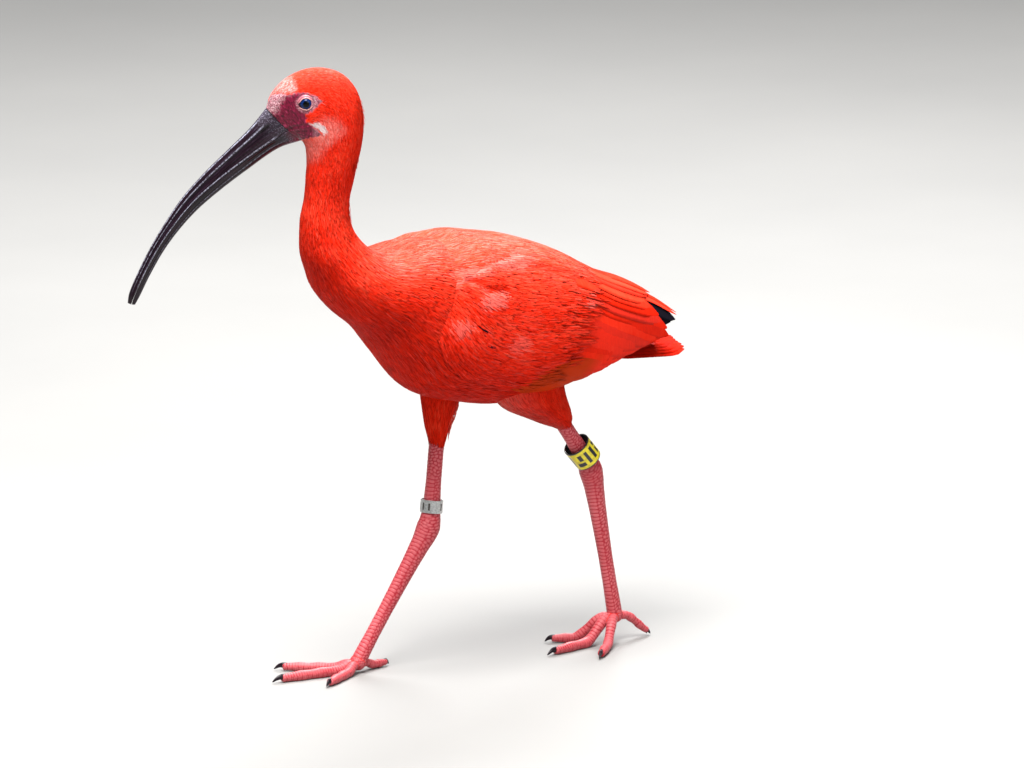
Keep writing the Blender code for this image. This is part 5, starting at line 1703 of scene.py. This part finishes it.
def makeHornMaterial():
    # glossy dark horn with lengthwise streaks and a pale scurfy base
    material, tree, shader = newMaterial("billHorn")
    place = objectPlace(tree)
    scurf = addNode(tree, "ShaderNodeTexVoronoi", {"Vector": place, "Scale": 900.0}).outputs["Distance"]
    grain = addNoise(tree, place, 900.0, 4.0)["Fac"]
    streak = useGroup(tree, hairLines, Across=1.5, Along=0.035)["Line"]
    fine = useGroup(tree, hairLines, Across=5.0, Along=0.12)["Line"]
    pale = readValue(tree, "pale")
    shares = {
        "wear": rangeOf(tree, doMath(tree, "MULTIPLY", streak, fine), 0.45, 0.9, 0.0, 0.35),
        "scurf": doMath(tree, "MULTIPLY", pale, rangeOf(tree, scurf, 0.05, 0.5, 1.0, 0.15)),
        # painted shade: groove and nostril darken the nasal groove and the nostril slit
        "red": readValue(tree, "blush"), "groove": doMath(tree, "MULTIPLY", readValue(tree, "groove"), 0.75),
        # painted highlight lines along the bill's ridges and cutting edges, in the edge colour
        "edge": doMath(tree, "MULTIPLY", readValue(tree, "edge"), rangeOf(tree, grain, 0.35, 0.6)),
        "nostril": readValue(tree, "dark"),
    }
    base = mixColour(tree, streak, hornLook["black"], hornLook["brown"])
    for key, share in shares.items():
        base = mixColour(tree, share, base, hornLook[key])
    setSockets(tree, shader, {
        "Base Color": base, "Roughness": rangeOf(tree, fine, 0.2, 0.8, 0.2, 0.4), "Specular IOR Level": 0.14,
        "Coat Weight": 0.3, "Coat Roughness": 0.07, "Coat Tint": (0.86, 0.9, 1.0),
    })
    addBump(tree, shader, 0.4, 0.0003, addShares(tree, (streak, 0.5), (pale, scurf)))
    return material


billMaterial = makeHornMaterial()
makeBillHalf("billUpper")
makeBillHalf("billLower")

# eyes and lids

eyeLook = {
    # the iris's blue colours are a painted reflection of the sky
    "irisDark": (0.002, 0.006, 0.04), "irisSkyReflection": (0.004, 0.03, 0.16), "irisRim": (0.003, 0.004, 0.015),
    "pupil": (0.001, 0.001, 0.001),
}


def makeEyeMaterial():
    # black pupil in a dark iris tinted and streaked blue, a painted reflection of the sky, under a wet cornea
    material, tree, shader = newMaterial("eyeball")
    place = objectPlace(tree)
    split = addNode(tree, "ShaderNodeSeparateXYZ", {"Vector": place}).outputs
    flat = addNode(tree, "ShaderNodeCombineXYZ", {"X": split["X"], "Y": split["Z"]}).outputs[0]
    away = addNode(tree, "ShaderNodeVectorMath", {0: flat}, operation="LENGTH").outputs["Value"]
    streak = rangeOf(tree, addNoise(tree, place, 1500.0, 3.0)["Fac"], 0.35, 0.7)
    iris = mixColour(tree, streak, eyeLook["irisDark"], eyeLook["irisSkyReflection"])
    iris = mixColour(tree, rangeOf(tree, away, 0.0033, 0.0041), iris, eyeLook["irisRim"])
    setSockets(tree, shader, {
        "Base Color": mixColour(tree, rangeOf(tree, away, 0.00195, 0.0022), eyeLook["pupil"], iris),
        "Roughness": 0.2, "Specular IOR Level": 0.08, "Coat Weight": 0.2, "Coat Roughness": 0.02,
    })
    return material


eyeMaterial = makeEyeMaterial()


def makeEye(side, label):
    turns = np.linspace(0, math.pi, 34)[1:-1]
    angle = roundTurns(48)
    radius = eye["radius"] * (1.0 + hump(turns, 0.05, 0.0, 0.5))[:, None]
    around = radius * np.sin(turns)[:, None]
    rings = np.stack([
        around * np.cos(angle), side * radius * np.cos(turns)[:, None] + 0 * angle, around * np.sin(angle),
    ], -1)
    name = "eyeball" + label.title()
    mesh = closedMesh(name, rings)
    # the mesh is about its own middle, so that the rings of the iris lie round it
    mesh.transform(Matrix.Translation(Vector(-birdShift)))
    place = toWorld(headPoint(eyeX, side * eyeOut, eyeZ))
    return addPiece(name, mesh, eyeMaterial, "eye", ["eye_" + label], place, -headTurn)


lids = {
    "around": 72, "sides": 16, "opening": 3.75, "flatter": 0.15, "reach": 2.3, "gap": 0.35, "crest": 0.35,
    # corners: angle in degrees, how far the opening is drawn out, half width
    "corners": ((-18.0, 1.7, 0.42), (172.0, 0.75, 0.4)),
    # a fold over the rim and its pale line: height, share of the rim, half width
    "fold": (0.22, 0.72, 0.1), "foldLine": (0.55, 0.72, 0.12),
    # back under the skin to close the rim: reach and depth
    "backReach": (1.9, 0.6), "backDepth": (1.6, 1.9),
    "outer": (0.30, 0.045, 0.10), "inner": (0.70, 0.40, 0.34), "crease": (0.30, 0.03, 0.08),
}


def makeLidMaterial():
    material, tree, shader = newMaterial("eyelid")
    crinkle = useGroup(tree, skinCrinkle, Size=1500.0, Sharpness=0.5)
    colour = mixColour(tree, readValue(tree, "inner"), lids["outer"], lids["inner"])
    # painted shade: the lid's skin is darker in the creases of its small folds
    colour = mixColour(tree, doMath(tree, "MULTIPLY", crinkle["Crease"], 0.5), colour, lids["crease"])
    setSockets(tree, shader, {"Base Color": colour, "Roughness": 0.38})
    addBump(tree, shader, 0.4, 0.0002, crinkle["Height"])
    return material


lidMaterial = makeLidMaterial()


def makeLids(side, label):
    # a rim of skin round the eye, drawn out to a corner in front and behind
    turn = roundTurns(lids["around"])[:, None]
    opening = lids["opening"] - lids["flatter"] * np.abs(np.sin(turn))
    for at, drawn, wide in lids["corners"]:
        opening = opening + hump(wrapAngle(turn - math.radians(at)), drawn, 0.0, wide)
    surface = np.sqrt(np.clip((eye["radius"] + lids["gap"]) ** 2 - opening ** 2, 1.0, None))
    # the rim's section: from under the lid's edge, over it and out to the face
    p = np.linspace(0.0, 1.0, lids["sides"])
    crest = lids["crest"] * np.sin(math.pi * np.minimum(1.0, p * 2.2))
    height = surface * (1 - 0.12 * p) - 0.9 * p ** 2 + crest + hump(p, *lids["fold"])
    height = np.concatenate([height, surface - np.array(lids["backDepth"])], 1)
    reach = np.concatenate([opening + lids["reach"] * p ** 1.2, opening + np.array(lids["backReach"])], 1)
    inner = zeroEnds(1.0 - between(p, 0.2, 0.45) + hump(p, *lids["foldLine"])).clip(0, 1)
    centre = headPoint(eyeX, side * eyeOut, eyeZ)
    towards = np.cos(turn) * headWay(-1.0, 0.0, 0.0) + np.sin(turn) * np.array((0.0, 0.0, 1.0))
    outward = headWay(0.0, float(side), 0.0)
    points = (centre + towards[:, None] * reach[..., None] + outward * height[..., None]).reshape(-1, 3)
    name = "eyelids" + label.title()
    faceSets = turnOut(points, [loopFaces(lids["around"], len(inner))])
    mesh = makeMesh(name, points, faceSets, {"inner": np.tile(inner, lids["around"])})
    return addPiece(name, mesh, lidMaterial, "leg_skin")


for side, label in ((-1, "left"), (1, "right")):
    makeEye(side, label)
    makeLids(side, label)
print("eyes and lids made")

# claws

claws = {
    "steps": 14, "around": 14, "sunk": 0.04, "size": 0.62, "narrow": 0.75, "point": 0.14, "taper": 0.7,
    # height over the toe, how high the claw arches and how far its tip drops
    "high": 0.4, "arch": 0.7, "drop": 2.2,
}


def makeClaw(label, toe):
    toeJoint = np.array(leg[label][2])
    _, outward, length, radius = toe
    start = toes["ball"] if toe == toes["hind"] else toes["start"]
    base = start + (length - start) * (toes["clawShare"] - claws["sunk"])
    s = np.linspace(0, 1, claws["steps"])
    line = toeLine(toeJoint, toeHeading(label, outward), base + (length - base) * s)
    arch = claws["arch"] * np.sin(math.pi * np.minimum(1, s * 1.1)) - claws["drop"] * s ** 2
    size = radius * claws["size"] * (1 - s) ** claws["taper"] + claws["point"]
    line[:, 2] = np.maximum(toes["height"] + claws["high"] + arch, size * 0.9 + 0.05)
    rings, _, _ = tubeGrid(line, size * claws["narrow"], size, claws["around"])
    points, faceSets = closedGrid(rings)
    points[:, 2] = np.maximum(points[:, 2], 0.0)
    return points, turnOut(points, faceSets)


def makeClaws():
    pointSets, faceSets, count = [], [[], []], 0
    for label in ("left", "right"):
        for toe in (*toes["front"], toes["hind"]):
            points, (quads, tris) = makeClaw(label, toe)
            faceSets[0].append(quads + count)
            faceSets[1].append(tris + count)
            pointSets.append(points)
            count += len(points)
    values = {key: np.zeros(count) for key in ("pale", "dark", "blush", "groove")}
    mesh = makeMesh("claws", np.concatenate(pointSets), [np.concatenate(faces) for faces in faceSets], values)
    return addPiece("claws", mesh, billMaterial, "bill_horn")


makeClaws()

# leg rings

ring = {
    # marks: first degree, width in degrees, lowest and highest millimetre
    "metal": {
        "inner": 6.6, "outer": 7.3, "length": 8.4, "z": 100.8, "leg": "right", "offset": 0.0,
        "lean": (0.0, 0.0, 0.0), "node": "ring_metal", "rim": 0.0, "seam": 0.3,
        "marks": [(start, 11, -2.4, 2.4) for start in (15, 48, 70, 112, 150, 172, 215, 240, 270, 305)],
    },
    "yellow": {
        "inner": 8.2, "outer": 9.1, "length": 15.2, "z": 129.4, "leg": "left", "offset": 0.8,
        "lean": (0.1, -0.07, 0.0), "node": "ring_yellow", "rim": 0.85, "seam": 0.0,
        "marks": [
            (6, 17, -4.6, 4.6), (36, 40, 1.8, 4.6), (36, 17, -4.6, 0.2), (88, 17, -4.6, 4.6),
            (118, 36, -4.6, -1.8), (137, 17, -0.2, 4.6), (170, 17, -4.6, 4.6), (202, 40, 1.8, 4.6),
            (202, 17, -4.6, 0.2), (256, 17, -4.6, 4.6), (286, 36, -4.6, -1.8), (305, 17, -0.2, 4.6),
            (336, 14, -4.6, 4.6),
        ],
    },
    "around": 180, "levels": 41, "bevel": 0.18, "markDepth": 0.08, "seamAt": 200.0, "seamWidth": 1.5,
}
ringLooks = {
    # noise: scale, lowest and highest value of the first two colours
    "metal": {
        "noise": (900.0, 0.35, 0.65), "low": (0.42, 0.43, 0.43), "high": (0.66, 0.67, 0.66),
        "mark": (0.03, 0.025, 0.02), "bump": 0.3,
    },
    "yellow": {
        "noise": (350.0, 0.4, 0.7), "low": (0.78, 0.66, 0.01), "high": (0.50, 0.40, 0.02),
        "mark": (0.012, 0.012, 0.018), "bump": 0.2,
    },
}


def makeRingMaterial(key):
    look = ringLooks[key]
    material, tree, shader = newMaterial("ring" + key.title())
    scale, low, high = look["noise"]
    grain = addNoise(tree, objectPlace(tree), scale, 5.0)["Fac"]
    mark = readValue(tree, "mark")
    colour = mixColour(tree, rangeOf(tree, grain, low, high), look["low"], look["high"])
    if key == "metal":
        finish = {
            "Roughness": rangeOf(tree, grain, 0.3, 0.7, 0.5, 0.28),
            "Metallic": rangeOf(tree, mark, 0.0, 1.0, 1.0, 0.0),
        }
    else:
        finish = {"Roughness": 0.32, "Coat Weight": 0.3}
    setSockets(tree, shader, {"Base Color": mixColour(tree, mark, colour, look["mark"]), **finish})
    addBump(tree, shader, look["bump"], 0.0002, grain)
    return material


def makeRing(key):
    size = ring[key]
    top, heel, _ = (np.array(p) for p in leg[size["leg"]])
    share = (top[2] - size["z"]) / (top[2] - heel[2])
    centre = top + (heel - top) * share + np.array((size["offset"], 0, 0))
    way = unit(unit(heel - top) + np.array(size["lean"]))
    side = unit(np.cross(way, (1.0, 0.0, 0.0)))
    fore = np.cross(side, way)
    half, bevel = size["length"] / 2, ring["bevel"]
    inner, outer = size["inner"], size["outer"]
    profile = [(inner, -half + bevel), (inner + bevel, -half), (outer - bevel, -half)]
    profile += [(outer, h) for h in np.linspace(-half + bevel, half - bevel, ring["levels"])]
    profile += [(outer - bevel, half), (inner + bevel, half), (inner, half - bevel), (inner, 0.0)]
    # radius and height are the same all round, angle is one column
    radius, height = np.array(profile).T
    angle = roundTurns(ring["around"])[:, None]
    degrees = np.degrees(angle)
    onFace = radius > outer - 0.01
    mark = np.zeros((len(angle), len(radius)))
    if size["rim"]:
        mark[:, (np.abs(np.abs(height) - half) < size["rim"]) | ~onFace] = 1.0
    for start, width, low, high in size["marks"]:
        mark[(degrees > start) & (degrees < start + width) & (height > low) & (height < high) & onFace] = 1.0
    # the marks are sunk a little, and so is the butt where the metal band closes
    sunk = ring["markDepth"] * mark + hump(degrees, size["seam"], ring["seamAt"], ring["seamWidth"])
    radius = radius - sunk * onFace
    towards = side * np.cos(angle) + fore * np.sin(angle)
    points = (centre + towards[:, None] * radius[..., None] - way * height[:, None]).reshape(-1, 3)
    faceSets = turnOut(points, [loopFaces(len(angle), len(height))])
    mesh = makeMesh(key + "Ring", points, faceSets, {"mark": mark.ravel()})
    mesh.set_sharp_from_angle(angle=math.radians(40))
    return addPiece(key + "LegRing", mesh, makeRingMaterial(key), size["node"], [size["node"]])


makeRing("metal")
makeRing("yellow")

# stage, lights and camera

stage = {
    "floorSize": 14.0, "floorDrop": 0.0002, "floorColours": ((0.265, 0.263, 0.258), (0.285, 0.282, 0.276)),
    "worldColour": (0.80, 0.83, 0.87), "worldStrength": 0.24, "lightTarget": (0.0, 0.0, 0.22),
    # lights: way from the target to the right, to the camera and up, size, power, colour
    "lights": {
        "key": ((-0.35, 1.05, 2.15), 1.7, 165.0, (1.0, 0.985, 0.96)),
        "fill": ((1.2, 2.1, 0.8), 1.8, 20.0, (0.96, 0.97, 1.0)),
        "rim": ((0.3, -1.5, 1.6), 0.9, 44.0, (1.0, 1.0, 1.0)),
        "top": ((0.0, -0.3, 2.5), 1.8, 75.0, (1.0, 0.99, 0.98)),
    },
}


def makeFloor():
    material, tree, shader = newMaterial("studioFloor")
    cloud = rangeOf(tree, addNoise(tree, objectPlace(tree), 3.0, 4.0)["Fac"], 0.3, 0.7)
    setSockets(tree, shader, {"Base Color": mixColour(tree, cloud, *stage["floorColours"]), "Roughness": 0.7})
    mesh = bpy.data.meshes.new("studioFloor")
    half = stage["floorSize"] / 2
    corners = [(-half, -half, 0), (half, -half, 0), (half, half, 0), (-half, half, 0)]
    mesh.from_pydata(corners, [], [(0, 1, 2, 3)])
    mesh.materials.append(material)
    floor = linkObject("studioFloor", mesh)
    floor.location = (0, 0, -stage["floorDrop"])


def aimAt(item, place, way):
    item.location = place
    item.rotation_mode = "QUATERNION"
    item.rotation_quaternion = way.to_track_quat("-Z", "Y")


def addLight(name, right, back):
    away, size, power, colour = stage["lights"][name]
    data = bpy.data.lights.new(name, "AREA")
    data.shape = "DISK"
    data.size = size
    data.energy = power
    data.color = colour
    target = Vector(stage["lightTarget"])
    place = target + right * away[0] + back * away[1] + Vector((0, 0, away[2]))
    aimAt(linkObject(name, data), place, target - place)


camera = {
    "azimuth": -37.0, "elevation": 13.0, "distance": 9.0, "mmEachPixel": 0.643,
    # the pixel of the body's place (0, 0, 86) in the 1024 x 768 frame
    "markX": 507.3, "markY": 522.4, "markHeight": 86.0, "frameWidth": 1024, "frameHeight": 768,
    "sensor": 36.0,
}


def makeCamera():
    a = math.radians(camera["azimuth"])
    e = math.radians(camera["elevation"])
    right = Vector((math.cos(a), math.sin(a), 0.0))
    back = Vector((math.sin(a) * math.cos(e), -math.cos(a) * math.cos(e), math.sin(e)))
    up = back.cross(right)
    scale = camera["mmEachPixel"] * mm
    target = Vector(toWorld((0.0, 0.0, camera["markHeight"])))
    target += right * (camera["frameWidth"] / 2 - camera["markX"]) * scale
    target += up * (camera["markY"] - camera["frameHeight"] / 2) * scale
    data = bpy.data.cameras.new("camera")
    data.sensor_width = camera["sensor"]
    data.lens = camera["sensor"] * camera["distance"] / (camera["frameWidth"] * scale)
    data.clip_end = 100.0
    item = linkObject("camera", data)
    aimAt(item, target + back * camera["distance"], -back)
    bpy.context.scene.camera = item
    return right, back


makeFloor()
toRight, toCamera = makeCamera()
for name in stage["lights"]:
    addLight(name, toRight, toCamera)
world = bpy.data.worlds.new("studio")
bpy.context.scene.world = world
world.use_nodes = True
background = {"Color": stage["worldColour"], "Strength": stage["worldStrength"]}
setSockets(world.node_tree, world.node_tree.nodes["Background"], background)
bpy.context.scene.view_settings.view_transform = "Standard"
print("stage, lights and camera made")
